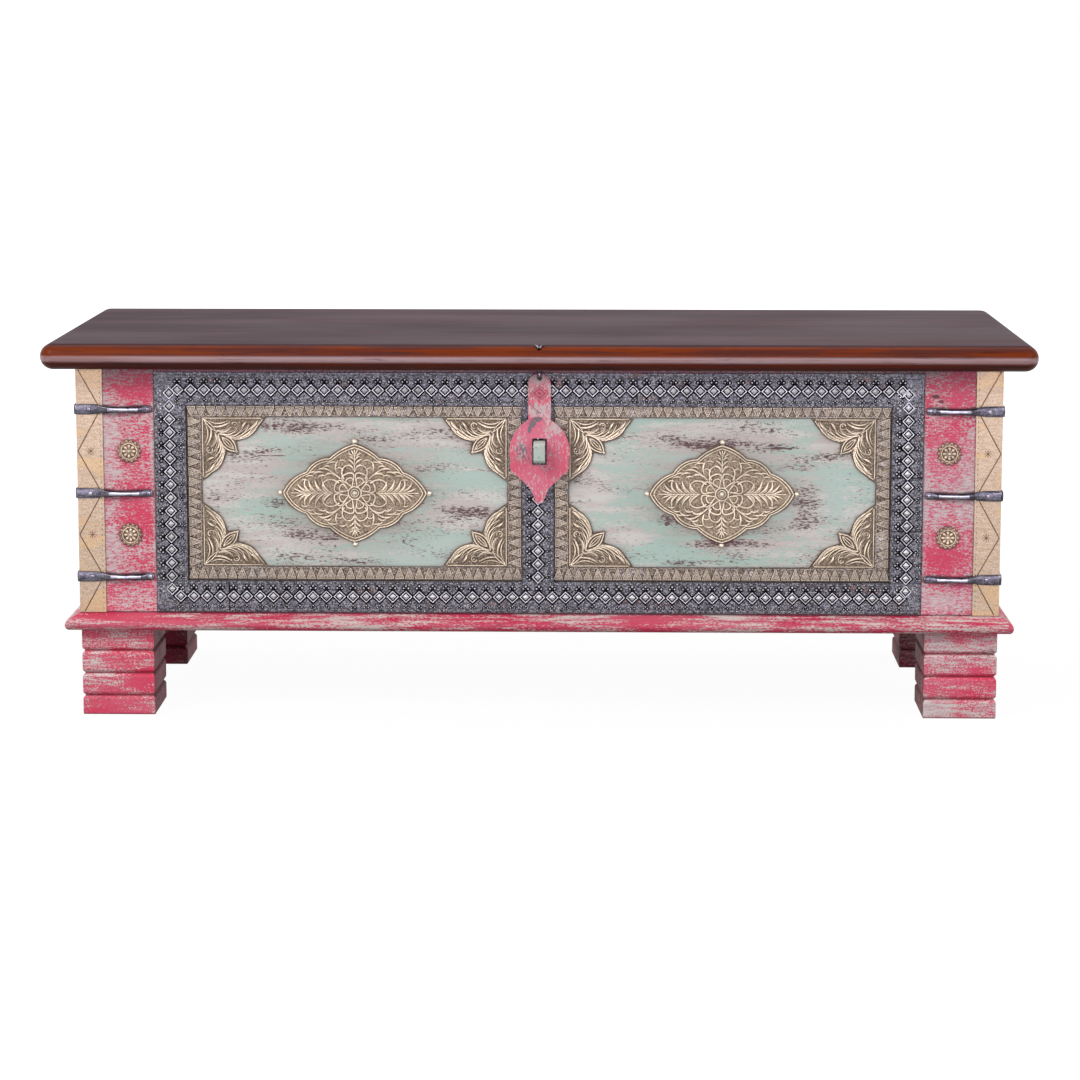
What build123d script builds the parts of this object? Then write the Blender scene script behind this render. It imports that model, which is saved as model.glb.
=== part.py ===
from build123d import *

import os
from math import atan2, cos, degrees, radians, sin

# ---------------------------------------------------------------------------
# Driving dimensions, in millimetres.
# X runs along the chest, the front faces -Y, Z is up from the floor.
# ---------------------------------------------------------------------------

# Lid
lid_length = 1180.0
lid_depth = 430.0
lid_thickness = 31.0
lid_overhang = 38.0
lid_corner_radius = 17.0
lid_edge_flat = 0.4
lid_plank_count = 3
lid_gap = 0.3

# Carcase
foot_height = 107.5
foot_width = 88.0
foot_first_tier = 23.5
foot_tier_pitch = 27.75
foot_groove_depth = 3.5
moulding_height = 19.5
moulding_projection = 17.0
moulding_lip = 13.5
moulding_drop = 6.5
moulding_inset = 53.0
cross_rail_width = 60.0
body_height = 298.0
board_thickness = 18.0
bottom_thickness = 12.0
corner_post = 30.0
post_top_gap = 4.0

# Facing of the front
facing_thickness = 12.0
panel_recess = 6.0
pilaster_width = 93.0
band_width = 37.5
band_top_reveal = 8.4
band_bottom_reveal = 1.5
band_sheet = 1.0
diamond_pitch = 16.0
diamond_size = 9.0
diamond_rise = 1.2

# Brass on the panels
brass_sheet = 1.0
border_side = 17.3
border_top = 13.9
border_bottom = 16.5
spandrel_leg = 78.0
spandrel_leaf_near = 0.12
spandrel_leaf_far = 0.49
spandrel_leaf_width = 7.0
spandrel_rise = 1.0
medallion_half_length = 87.0
medallion_half_height = 60.0
medallion_rim = 4.0
medallion_rise = 0.8
snip_cuts = 4
petal_count = 8
petal_ring = 15.0
petal_radius = 6.0
petal_rise = 1.0
stud_radius = 2.6
stud_neck = 0.9
stud_depth = 5.0
stud_edge = 0.6
stud_dome = 1.0

# Brass and iron on the corners
corner_sheet = 0.8
corner_strip_width = 31.0
strap_inset = 4.85
strap_length = 90.0
strap_sheet = 2.0
strap_end_height = 12.5
strap_end_length = 24.0
strap_taper = 10.0
strap_bar_radius = 2.8
strap_bar_rise = 3.4
strap_bar_facets = 3
strap_tip_length = 11.0
strap_tip_height = 8.0
strap_nail_inset = 15.0
strap_tip_nail_inset = 5.0
nail_shank = 2.0
nail_head = 5.4
nail_head_rise = 1.6
nail_length = 14.0

# Rosettes on the pilasters
rosette_radius = 14.6
rosette_scallop = 1.8
rosette_scallops = 10
rosette_rim_sides = 8
rosette_sheet = 1.4
rosette_rim = 1.6
rosette_rim_radius = 11.4
rosette_star = 8.0
rosette_star_points = 6
rosette_star_rise = 1.4
rosette_boss = 2.4

# Hasp, split pin and staple, a little right of the middle
lock_x = 2.0
hasp_thickness = 3.0
hasp_neck_width = 27.2
hasp_top_margin = 6.2
hasp_disc_drop = 88.0
hasp_disc_radius = 36.0
hasp_tip_drop = 150.0
hasp_tip_width = 12.0
hasp_tip_bevel = 2.0
hasp_shoulder_turn = 50.0
hasp_shoulder_rise = 3.2
hasp_waist_height = 14.0
hasp_waist_flare = 3.2
hasp_hollow_share = 0.58
hasp_hole_radius = 2.6
slot_width = 17.2
slot_height = 32.0
staple_width = 13.6
staple_height = 25.0
staple_thickness = 3.0
staple_projection = 27.0
staple_clinch = 12.0
staple_bend = 3.5
staple_lift = 0.8
ring_radius = 4.6
ring_wire = 1.4
ring_rounding = 0.5
pin_shank_radius = 2.0
pin_hole_radius = 3.2
pin_tilt = 37.0
pin_leg_radius = 1.2
pin_leg_turns = (13.0, 21.0)
pin_leg_spread = (3.0, 6.0)

# Hinges at the back
hinge_spacing = 700.0
hinge_length = 70.0
hinge_sheet = 2.0
hinge_knuckle_radius = 5.0
hinge_knuckles = 3
hinge_knuckle_sides = 12
hinge_pin_radius = 1.6
hinge_body_leaf = 45.0
hinge_lid_leaf = 17.0
screw_radius = 2.0
screw_head_radius = 3.8
screw_head_rise = 0.8
screw_length = 13.0
screw_margin = 14.0

# Cleats under the lid
cleat_spacing = 660.0
cleat_width = 50.0
cleat_thickness = 18.0
cleat_length = 250.0
cleat_chamfer = 8.0
cleat_screw_pitch = 90.0
cleat_screw_length = 30.0

# Clearances
seat_gap = 0.3
knuckle_gap = 0.4
running_gap = 0.05
hole_gap = 0.1

# ---------------------------------------------------------------------------
# Levels and planes worked out from the sizes above
# ---------------------------------------------------------------------------
body_bottom = foot_height + moulding_height
lid_bottom = body_bottom + body_height
body_top = lid_bottom - lid_gap
lid_top = lid_bottom + lid_thickness
half_length = lid_length / 2 - lid_overhang
half_depth = lid_depth / 2 - lid_overhang
front_y = -half_depth
back_y = half_depth
carcase_front_y = front_y + facing_thickness
inner_front_y = carcase_front_y + board_thickness
inner_back_y = back_y - board_thickness
inner_x = half_length - board_thickness
bottom_top = body_bottom + bottom_thickness
panel_face_y = front_y + panel_recess
band_face_y = front_y - band_sheet

frame_x = half_length - pilaster_width
window_x = frame_x - band_width
muntin_x = band_width / 2
band_top_high = lid_bottom - band_top_reveal
band_top_low = band_top_high - band_width
band_bottom_low = body_bottom + band_bottom_reveal
band_bottom_high = band_bottom_low + band_width
window_mid_x = (window_x + muntin_x) / 2
window_mid_z = (band_top_low + band_bottom_high) / 2
strap_levels = [band_bottom_high + strap_inset, window_mid_z, band_top_low - strap_inset]
rosette_levels = [(low + high) / 2 for low, high in zip(strap_levels, strap_levels[1:])]
rosette_x = half_length - (pilaster_width + corner_strip_width) / 2

ring_y = band_face_y - ring_radius - ring_wire - seat_gap
ring_z = lid_bottom - ring_radius - ring_wire - seat_gap
ring_inside = ((ring_radius - ring_wire) ** 2 - (hasp_thickness / 2) ** 2) ** 0.5
hasp_hole_z = ring_z - ring_inside - hasp_hole_radius + seat_gap
hasp_disc_z = hasp_hole_z - hasp_disc_drop
hasp_tip_z = hasp_hole_z - hasp_tip_drop
staple_z = hasp_disc_z + staple_lift
bullnose = (lid_thickness - lid_edge_flat) / 2
bullnose_y = -lid_depth / 2 + bullnose
bullnose_z = lid_top - bullnose

hinge_y = back_y + hinge_knuckle_radius + seat_gap
hinge_z = lid_bottom - hinge_knuckle_radius - seat_gap
hinge_places = (-hinge_spacing / 2, hinge_spacing / 2)

parts = {}


def block(x0, x1, y0, y1, z0, z1):
    """A square-edged board between two corners."""
    middle = ((x0 + x1) / 2, (y0 + y1) / 2, (z0 + z1) / 2)
    return Pos(*middle) * Box(x1 - x0, y1 - y0, z1 - z0)


def face_plate(outline, y_back, rise):
    """A sheet whose outline is drawn in X and Z, standing rise forward of y_back."""
    plane = Plane(origin=(0, y_back, 0), x_dir=(1, 0, 0), z_dir=(0, -1, 0))
    return extrude(plane * outline, amount=rise)


def rod(radius, length, sides):
    """A many-sided rod centred on the origin along Z, for small wires, shanks and their holes."""
    return extrude(RegularPolygon(radius, sides), amount=length / 2, both=True)


def straightened(curve, pieces):
    """A curve as a chain of straight lines, as the snips leave an edge of thin sheet."""
    return Polyline(*[curve @ (step / pieces) for step in range(pieces + 1)])


def both_sides(name, right_hand):
    """Store a right-hand piece and its mirror image."""
    parts[name + "_right"] = right_hand
    parts[name + "_left"] = mirror(right_hand, about=Plane.YZ)


# ---------------------------------------------------------------------------
# Nails: square forged shanks under four-sided heads
# ---------------------------------------------------------------------------
def nail(seat, outward):
    """One nail whose head sits at seat and faces outward."""
    plane = Plane(origin=seat, z_dir=outward)
    shank = Pos(0, 0, -nail_length / 2) * Box(nail_shank, nail_shank, nail_length)
    head = extrude(Rectangle(nail_head, nail_head), amount=nail_head_rise, taper=40)
    return plane * (shank + head)


def nail_bore(seat, outward):
    """The square hole that a nail is driven into."""
    plane = Plane(origin=seat, z_dir=outward)
    side = nail_shank + 2 * hole_gap
    length = nail_length + hole_gap
    return plane * (Pos(0, 0, -length / 2) * Box(side, side, length))


def strap_nail_seats(level):
    """Seat and direction of the four nails of a right-hand strap."""
    seats = []
    for inset, lift in ((strap_nail_inset, corner_sheet), (strap_length - strap_tip_nail_inset, 0)):
        off = lift + strap_sheet
        seats.append(((half_length - inset, front_y - off, level), (0, -1, 0)))
        seats.append(((half_length + off, front_y + inset, level), (1, 0, 0)))
    return seats


strap_seats = [seat for level in strap_levels for seat in strap_nail_seats(level)]
strap_bores = [nail_bore(*seat) for seat in strap_seats]
strap_bores_left = [mirror(bore, about=Plane.YZ) for bore in strap_bores]


# ---------------------------------------------------------------------------
# Feet: square blocks of four tiers with a V groove between tiers
# ---------------------------------------------------------------------------
def foot(x_side, y_side):
    """One foot, flush with the faces of the body."""
    grooves = [foot_first_tier + step * foot_tier_pitch for step in range(3)]
    levels = [0.0, *grooves, foot_height]
    block_foot = None
    for low, high in zip(levels, levels[1:]):
        tier = Pos(0, 0, (low + high) / 2) * Box(foot_width, foot_width, high - low)
        rims = []
        if low > 0:
            rims += tier.faces().sort_by(Axis.Z)[0].edges()
        if high < foot_height:
            rims += tier.faces().sort_by(Axis.Z)[-1].edges()
        tier = chamfer(rims, foot_groove_depth)
        block_foot = tier if block_foot is None else block_foot + tier
    x = x_side * (half_length - foot_width / 2)
    y = y_side * (half_depth - foot_width / 2)
    return Pos(x, y, 0) * block_foot


for y_name, y_side in (("front", -1), ("back", 1)):
    for x_name, x_side in (("left", -1), ("right", 1)):
        parts[f"foot_{y_name}_{x_name}"] = foot(x_side, y_side)


# ---------------------------------------------------------------------------
# Base moulding: four mitred lengths with a sloping top and a rounded nose
# ---------------------------------------------------------------------------
def moulding_profile():
    """Section of the moulding: 0 is the face of the body, outward is +X."""
    inner = (-moulding_inset, 0)
    toe = (moulding_lip, 0)
    nose = (moulding_projection, (moulding_height - moulding_drop) / 2)
    lip = (moulding_lip, moulding_height - moulding_drop)
    top = (0, moulding_height)
    inner_top = (-moulding_inset, moulding_height)
    lines = [Line(inner, toe), ThreePointArc(toe, nose, lip), Line(lip, top)]
    lines += [Line(top, inner_top), Line(inner_top, inner)]
    return make_face(lines)


def moulding_length(run, face):
    """A length of moulding centred on X, its body face at y = -face, with mitred ends."""
    reach = run + moulding_projection
    plane = Plane(origin=(reach, -face, foot_height), x_dir=(0, -1, 0), z_dir=(-1, 0, 0))
    bar = extrude(plane * moulding_profile(), amount=2 * reach)
    inner = run - moulding_inset
    far = reach + moulding_inset
    corners = [(-inner, -face + moulding_inset), (inner, -face + moulding_inset)]
    corners += [(inner + far, -face + moulding_inset - far), (-inner - far, -face + moulding_inset - far)]
    wedge = extrude(make_face(Polyline(*corners, close=True)), amount=lid_top)
    return bar & wedge


moulding_front = moulding_length(half_length, half_depth)
moulding_side = moulding_length(half_depth, half_length)
parts["base_moulding_front"] = moulding_front
parts["base_moulding_back"] = Rot(0, 0, 180) * moulding_front
parts["base_moulding_right"] = Rot(0, 0, 90) * moulding_side
parts["base_moulding_left"] = Rot(0, 0, -90) * moulding_side
cross_y = half_depth - moulding_inset
parts["base_cross_rail"] = block(
    -cross_rail_width / 2, cross_rail_width / 2, -cross_y, cross_y, foot_height, body_bottom
)

# ---------------------------------------------------------------------------
# Carcase boards
# ---------------------------------------------------------------------------
parts["bottom_board"] = block(-inner_x, inner_x, inner_front_y, inner_back_y, body_bottom, bottom_top)
parts["back_board"] = block(-half_length, half_length, inner_back_y, back_y, body_bottom, body_top)
end_board = block(inner_x, half_length, inner_front_y, inner_back_y, body_bottom, body_top)
both_sides("end_board", end_board - strap_bores)
post_x = inner_x - corner_post
for y_name, low, high in (
    ("front", inner_front_y, inner_front_y + corner_post),
    ("back", inner_back_y - corner_post, inner_back_y),
):
    post = block(post_x, inner_x, low, high, bottom_top, body_top - post_top_gap)
    parts[f"corner_posts_{y_name}"] = Compound(children=[post, mirror(post, about=Plane.YZ)])


# ---------------------------------------------------------------------------
# Staple: an iron strap bent to a U, its ends clinched inside the front board
# ---------------------------------------------------------------------------
staple_low = staple_z - staple_height / 2
staple_high = staple_z + staple_height / 2
staple_nose_y = band_face_y - staple_projection


def make_staple():
    """The staple, an outline in Y and Z drawn about its outer line and extruded along X."""
    centre_low = staple_low + staple_thickness / 2
    centre_high = staple_high - staple_thickness / 2
    nose = staple_nose_y + staple_thickness / 2
    tail = inner_front_y + staple_thickness / 2
    route = FilletPolyline(
        (tail, centre_low - staple_clinch),
        (tail, centre_low),
        (nose, centre_low),
        (nose, centre_high),
        (tail, centre_high),
        (tail, centre_high + staple_clinch),
        radius=[staple_thickness / 2, staple_bend, staple_bend, staple_thickness / 2],
    )
    outline = make_face(offset(route, amount=staple_thickness / 2, kind=Kind.INTERSECTION))
    plane = Plane(origin=(lock_x - staple_width / 2, 0, 0), x_dir=(0, 1, 0), z_dir=(1, 0, 0))
    return extrude(plane * outline, amount=staple_width)


def staple_mortises():
    """The two holes that the legs of the staple pass through, clear of its clinch bends."""
    half_width = staple_width / 2 + hole_gap
    cuts = []
    for z, inner in ((staple_low, -1), (staple_high, 1)):
        low = min(z, z - inner * staple_thickness) - hole_gap
        high = max(z, z - inner * staple_thickness) + hole_gap
        cut = block(
            lock_x - half_width, lock_x + half_width, band_face_y - diamond_rise, inner_front_y, low, high
        )
        cuts.append(cut)
    return cuts


parts["staple"] = make_staple()
mortises = staple_mortises()
front_board = block(-half_length, half_length, carcase_front_y, inner_front_y, body_bottom, body_top)
parts["front_board"] = front_board - mortises - strap_bores - strap_bores_left

# ---------------------------------------------------------------------------
# Facing: pilasters, frame of the two windows, painted panels
# ---------------------------------------------------------------------------
rosette_pin_holes = [
    Pos(rosette_x, front_y, level) * Rot(90, 0, 0) * rod(stud_neck + hole_gap, 2 * stud_depth + hole_gap, 4)
    for level in rosette_levels
]
pilaster = block(frame_x, half_length, front_y, carcase_front_y, body_bottom, body_top)
both_sides("pilaster", pilaster - strap_bores - rosette_pin_holes)
parts["frame_top_rail"] = block(-frame_x, frame_x, front_y, carcase_front_y, band_top_low, body_top)
parts["frame_bottom_rail"] = block(
    -frame_x, frame_x, front_y, carcase_front_y, body_bottom, band_bottom_high
)
stile = block(window_x, frame_x, front_y, carcase_front_y, band_bottom_high, band_top_low)
both_sides("frame_stile", stile)
muntin = block(-muntin_x, muntin_x, front_y, carcase_front_y, band_bottom_high, band_top_low)
parts["frame_muntin"] = muntin - mortises


def diamonds_along(start, end, fixed, upright):
    """Four-sided raised diamonds, evenly pitched and centred between start and end."""
    count = int((end - start) // diamond_pitch)
    middle = (start + end) / 2
    outline = Rot(0, 0, 45) * Rectangle(diamond_size, diamond_size)
    pyramid = loft([outline.face(), Vertex(0, 0, diamond_rise)])
    row = []
    for index in range(count):
        along = middle + (index - (count - 1) / 2) * diamond_pitch
        x, z = (fixed, along) if upright else (along, fixed)
        plane = Plane(origin=(x, band_face_y, z), x_dir=(1, 0, 0), z_dir=(0, -1, 0))
        row.append(plane * pyramid)
    return row


def band(x0, x1, z0, z1, upright):
    """A strip of embossed sheet with one row of diamonds."""
    sheet = block(x0, x1, band_face_y, front_y, z0, z1)
    if upright:
        row = diamonds_along(z0, z1, (x0 + x1) / 2, True)
    else:
        row = diamonds_along(x0, x1, (z0 + z1) / 2, False)
    return sheet + row


parts["band_top"] = band(-frame_x, frame_x, band_top_low, band_top_high, False)
parts["band_bottom"] = band(-frame_x, frame_x, band_bottom_low, band_bottom_high, False)
both_sides("band", band(window_x, frame_x, band_bottom_high, band_top_low, True))
parts["band_middle"] = band(-muntin_x, muntin_x, band_bottom_high, band_top_low, True) - mortises


# ---------------------------------------------------------------------------
# Brass on the panels: border strips, corner spandrels, medallions, studs
# ---------------------------------------------------------------------------
border_inner_x = window_x - border_side
border_outer_x = muntin_x + border_side
border_inner_top = band_top_low - border_top
border_inner_bottom = band_bottom_high + border_bottom
brass_face_y = panel_face_y - brass_sheet


def border_strips():
    """Four strips that line a window, butted at the corners."""
    low, high = brass_face_y, panel_face_y
    return [
        block(muntin_x, window_x, low, high, border_inner_top, band_top_low),
        block(muntin_x, window_x, low, high, band_bottom_high, border_inner_bottom),
        block(border_inner_x, window_x, low, high, border_inner_bottom, border_inner_top),
        block(muntin_x, border_outer_x, low, high, border_inner_bottom, border_inner_top),
    ]


def spandrel_outline(leg):
    """A right-angled corner plate whose long side is two lobes with a pointed leaf between."""
    tip = (leg, 0)
    lobe = (0.80 * leg, 0.245 * leg)
    notch = (0.53 * leg, 0.395 * leg)
    leaf_side = (0.555 * leg, 0.47 * leg)
    leaf = (0.53 * leg, 0.53 * leg)
    curves = [ThreePointArc(tip, lobe, notch), ThreePointArc(notch, leaf_side, leaf)]
    return [Line((0, 0), tip), *[straightened(curve, snip_cuts) for curve in curves]]


def spandrel_face(leg):
    """The spandrel's outline, mirrored about its diagonal."""
    half = spandrel_outline(leg)
    diagonal = Plane(origin=(0, 0, 0), x_dir=(1, 1, 0), z_dir=(1, -1, 0))
    other = [mirror(edge, about=diagonal) for edge in half]
    return make_face(half + other)


def spandrel(x, z, x_dir, z_dir):
    """A spandrel with its square corner at x, z and its legs along the two directions."""
    plate = face_plate(spandrel_face(spandrel_leg), 0, brass_sheet)
    near, far = spandrel_leaf_near * spandrel_leg, spandrel_leaf_far * spandrel_leg
    middle, half = (near + far) / 2, spandrel_leaf_width / 2
    side_points = [(middle + half, middle - half), (far, far), (middle - half, middle + half)]
    leaf = Polyline((near, near), *side_points, close=True)
    ridge = extrude(
        Plane(origin=(0, -brass_sheet, 0), x_dir=(1, 0, 0), z_dir=(0, -1, 0)) * make_face(leaf),
        amount=spandrel_rise,
        taper=45,
    )
    shape = plate + ridge
    if x_dir < 0:
        shape = mirror(shape, about=Plane.YZ)
    if z_dir < 0:
        shape = mirror(shape, about=Plane.XY)
    return Pos(x, panel_face_y, z) * shape


def medallion_face(half_length_x, half_height_z):
    """A pointed oval of twelve lobes, each quarter made of three arcs."""
    a = half_length_x
    b = half_height_z
    tip = (a, 0)
    first_cusp = (0.675 * a, 0.423 * b)
    second_cusp = (0.345 * a, 0.707 * b)
    crown = (0, b)
    quarter = [
        ThreePointArc(tip, (0.865 * a, 0.27 * b), first_cusp),
        ThreePointArc(first_cusp, (0.54 * a, 0.63 * b), second_cusp),
        ThreePointArc(second_cusp, (0.185 * a, 0.885 * b), crown),
    ]
    quarter = [straightened(lobe, snip_cuts) for lobe in quarter]
    upper = quarter + [mirror(edge, about=Plane.YZ) for edge in quarter]
    return make_face(upper + [mirror(edge, about=Plane.XZ) for edge in upper])


stud_places = [(0, 0)]
stud_places += [(side * (medallion_half_length + stud_radius), 0) for side in (-1, 1)]
stud_places += [(0, side * (medallion_half_height + stud_radius)) for side in (-1, 1)]


def stud_bores(radius):
    """Round holes for the studs of the right-hand medallion."""
    bores = []
    for dx, dz in stud_places:
        place = Pos(window_mid_x + dx, panel_face_y, window_mid_z + dz)
        bores.append(place * Rot(90, 0, 0) * rod(radius, 2 * (stud_depth + hole_gap), 4))
    return bores


def medallion():
    """The right-hand medallion: rim, raised field and a ring of petals."""
    plate = face_plate(medallion_face(medallion_half_length, medallion_half_height), 0, brass_sheet)
    field = medallion_face(medallion_half_length - medallion_rim, medallion_half_height - medallion_rim)
    shape = plate + Pos(0, -brass_sheet, 0) * face_plate(field, 0, medallion_rise)
    top = -brass_sheet - medallion_rise
    for index in range(petal_count):
        turn = Rot(0, index * 360 / petal_count, 0)
        outline = Pos(petal_ring, 0) * RegularPolygon(petal_radius, 4)
        shape += turn * (Pos(0, top, 0) * extrude(
            Plane(origin=(0, 0, 0), x_dir=(1, 0, 0), z_dir=(0, -1, 0)) * outline,
            amount=petal_rise,
            taper=50,
        ))
    shape = Pos(window_mid_x, panel_face_y, window_mid_z) * shape
    return shape - stud_bores(stud_neck + hole_gap)


def stud(x, y_seat, z):
    """A brass stud: a domed head on a thin neck that is driven into the wood."""
    neck = Pos(0, 0, -stud_depth / 2) * rod(stud_neck, stud_depth, 4)
    head = extrude(RegularPolygon(stud_radius, 6), amount=stud_edge)
    crown = Pos(0, 0, stud_edge) * extrude(RegularPolygon(stud_radius, 6), amount=stud_dome, taper=45)
    plane = Plane(origin=(x, y_seat, z), x_dir=(1, 0, 0), z_dir=(0, -1, 0))
    return plane * (neck + head + crown)


def medallion_studs():
    """Five studs, one through the middle and one just past each point of the medallion."""
    group = []
    for dx, dz in stud_places:
        seat = panel_face_y
        if dx == 0 and dz == 0:
            seat = panel_face_y - brass_sheet - medallion_rise
        group.append(stud(window_mid_x + dx, seat, window_mid_z + dz))
    return group


panel = block(muntin_x, window_x, panel_face_y, carcase_front_y, band_bottom_high, band_top_low)
both_sides("panel", panel - stud_bores(stud_neck + hole_gap))
both_sides("border", Compound(children=border_strips()))
spandrels = [
    spandrel(border_outer_x, border_inner_bottom, 1, 1),
    spandrel(border_inner_x, border_inner_bottom, -1, 1),
    spandrel(border_outer_x, border_inner_top, 1, -1),
    spandrel(border_inner_x, border_inner_top, -1, -1),
]
both_sides("spandrels", Compound(children=spandrels))
both_sides("medallion", medallion())
studs = medallion_studs()
studs += [mirror(one, about=Plane.YZ) for one in studs]
parts["medallion_studs"] = Compound(children=studs)


# ---------------------------------------------------------------------------
# Corners: folded brass strips, iron straps, rosettes
# ---------------------------------------------------------------------------
def corner_strip():
    """Thin brass sheet folded round the front corner of the body."""
    outer_x = half_length + corner_sheet
    outer_y = front_y - corner_sheet
    reach_x = half_length - corner_strip_width
    reach_y = front_y + corner_strip_width
    front = block(reach_x, outer_x, outer_y, front_y, body_bottom, body_top)
    side = block(half_length, outer_x, front_y, reach_y, body_bottom, body_top)
    return front + side


def strap_arm():
    """One arm of a strap along -X from the corner: wide end, half-round bar, small tip."""
    lift = corner_sheet
    half_end = strap_end_height / 2
    bar_start = strap_end_length + strap_taper
    outline = Polyline(
        (0, half_end),
        (-strap_end_length, half_end),
        (-bar_start, strap_bar_radius),
        (-bar_start, -strap_bar_radius),
        (-strap_end_length, -half_end),
        (0, -half_end),
        close=True,
    )
    wide = Pos(0, -lift, 0) * face_plate(make_face(outline), 0, strap_sheet)
    tip_start = strap_length - strap_tip_length
    tip_face = Pos(-strap_length + strap_tip_length / 2, 0) * Rectangle(strap_tip_length, strap_tip_height)
    tip = face_plate(tip_face, 0, strap_sheet)
    first = (-strap_end_length - strap_taper / 2, -lift - strap_sheet / 2, 0)
    last = (-tip_start - strap_bar_radius, -strap_sheet / 2, 0)
    crest = ((first[0] + last[0]) / 2, -strap_sheet - strap_bar_rise, 0)
    arc = ThreePointArc(first, crest, last)
    path = Polyline(*[arc @ (step / strap_bar_facets) for step in range(strap_bar_facets + 1)])
    section = Plane(origin=first, z_dir=path % 0) * RegularPolygon(strap_bar_radius, 6)
    bar = sweep(section, path=path, transition=Transition.RIGHT)
    depth = 4 * strap_bar_radius
    ground = block(-strap_length, 0, 0, depth, -strap_end_height, strap_end_height)
    sheet = block(-corner_strip_width, 0, -lift, depth, -strap_end_height, strap_end_height)
    return wide + tip + (bar - ground - sheet)


def strap(level):
    """A strap folded round the right-hand front corner, with an arm on each face."""
    arm = strap_arm()
    front_arm = Pos(half_length, front_y, 0) * arm
    side_arm = Pos(half_length, front_y, 0) * Rot(0, 0, 90) * mirror(arm, about=Plane.YZ)
    outer = corner_sheet + strap_sheet
    half_end = strap_end_height / 2
    fold = block(
        half_length - strap_sheet, half_length + outer, front_y - outer, front_y - corner_sheet,
        -half_end, half_end,
    )
    fold += block(
        half_length + corner_sheet, half_length + outer, front_y - outer, front_y + strap_sheet,
        -half_end, half_end,
    )
    return Pos(0, 0, level) * (front_arm + side_arm + fold) - strap_bores


def rosette(x, z):
    """A scalloped brass rosette with a raised rim, a star and a boss, pinned from the front."""
    rim_points = []
    for index in range(2 * rosette_scallops):
        angle = radians(index * 180 / rosette_scallops)
        radius = rosette_radius if index % 2 == 0 else rosette_radius - rosette_scallop
        rim_points.append((radius * cos(angle), radius * sin(angle)))
    plate = extrude(make_face(Polyline(*rim_points, close=True)), amount=rosette_sheet)
    bead = RegularPolygon(rosette_rim_radius, rosette_rim_sides)
    bead -= RegularPolygon(rosette_rim_radius - rosette_rim, rosette_rim_sides)
    plate += Pos(0, 0, rosette_sheet) * extrude(bead, amount=rosette_rim)
    star_points = []
    for index in range(2 * rosette_star_points):
        angle = radians(index * 180 / rosette_star_points)
        radius = rosette_star if index % 2 == 0 else rosette_star / 2
        star_points.append((radius * cos(angle), radius * sin(angle)))
    star = make_face(Polyline(*star_points, close=True))
    plate += Pos(0, 0, rosette_sheet) * extrude(star, amount=rosette_star_rise)
    boss = extrude(RegularPolygon(rosette_boss, 6), amount=2 * rosette_star_rise, taper=25)
    plate += Pos(0, 0, rosette_sheet) * boss
    pin = Pos(0, 0, -stud_depth / 2) * rod(stud_neck, stud_depth, 4)
    plane = Plane(origin=(x, front_y, z), x_dir=(1, 0, 0), z_dir=(0, -1, 0))
    return plane * (plate + pin)


both_sides("corner_strip", corner_strip() - strap_bores)
both_sides("straps", Compound(children=[strap(level) for level in strap_levels]))
both_sides("rosettes", Compound(children=[rosette(rosette_x, level) for level in rosette_levels]))
strap_nails = [nail(*seat) for seat in strap_seats]
strap_nails += [mirror(one, about=Plane.YZ) for one in strap_nails]
parts["strap_nails"] = Compound(children=strap_nails)


# ---------------------------------------------------------------------------
# Screws with low domed heads
# ---------------------------------------------------------------------------
def screw(seat, outward, length=screw_length):
    """A wood screw whose head sits at seat and faces outward."""
    head = extrude(RegularPolygon(screw_head_radius, 6), amount=screw_head_rise, taper=30)
    shank = Pos(0, 0, -length / 2) * rod(screw_radius, length, 6)
    return Plane(origin=seat, z_dir=outward) * (head + shank)


def screw_bore(seat, outward, length=screw_length):
    """The hole that a screw is driven into."""
    depth = length + hole_gap
    hole = Pos(0, 0, -depth / 2) * rod(screw_radius + hole_gap, depth, 6)
    return Plane(origin=seat, z_dir=outward) * hole


# ---------------------------------------------------------------------------
# Hinges: one leaf on the back board, one under the lid, and a pin between them
# ---------------------------------------------------------------------------
knuckle_length = (hinge_length - (hinge_knuckles - 1) * knuckle_gap) / hinge_knuckles


def knuckles(x, first):
    """Every second knuckle of a hinge centred at x, starting from index first."""
    barrels = []
    for index in range(first, hinge_knuckles, 2):
        start = x - hinge_length / 2 + index * (knuckle_length + knuckle_gap)
        place = Pos(start + knuckle_length / 2, hinge_y, hinge_z) * Rot(0, 90, 0)
        barrels.append((start, place * rod(hinge_knuckle_radius, knuckle_length, hinge_knuckle_sides)))
    return barrels


def pin_bore(x):
    """The round hole in the lid's knuckles, which turn on the pin."""
    radius = hinge_pin_radius + running_gap
    return Pos(x, hinge_y, hinge_z) * Rot(0, 90, 0) * Cylinder(radius, 2 * hinge_length)


def pin_grip(x):
    """The many-sided hole in the body's knuckles, which grip the pin."""
    radius = (hinge_pin_radius + running_gap) / cos(radians(180 / hinge_knuckle_sides))
    return Pos(x, hinge_y, hinge_z) * Rot(0, 90, 0) * rod(radius, 2 * hinge_length, hinge_knuckle_sides)


clear_radius = hinge_knuckle_radius + knuckle_gap


def body_leaf_seats(x):
    """Screw seats on the body leaf."""
    reach = hinge_length / 2 - screw_margin
    low = hinge_z - hinge_body_leaf + screw_margin
    return [((x + dx, back_y + hinge_sheet, low), (0, 1, 0)) for dx in (-reach, 0, reach)]


def lid_leaf_seats(x):
    """Screw seats on the lid leaf, which faces down."""
    reach = hinge_length / 2 - screw_margin
    y = hinge_y + (clear_radius + hinge_lid_leaf) / 2
    return [((x + dx, y, lid_bottom - hinge_sheet), (0, 0, -1)) for dx in (-reach, reach)]


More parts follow.
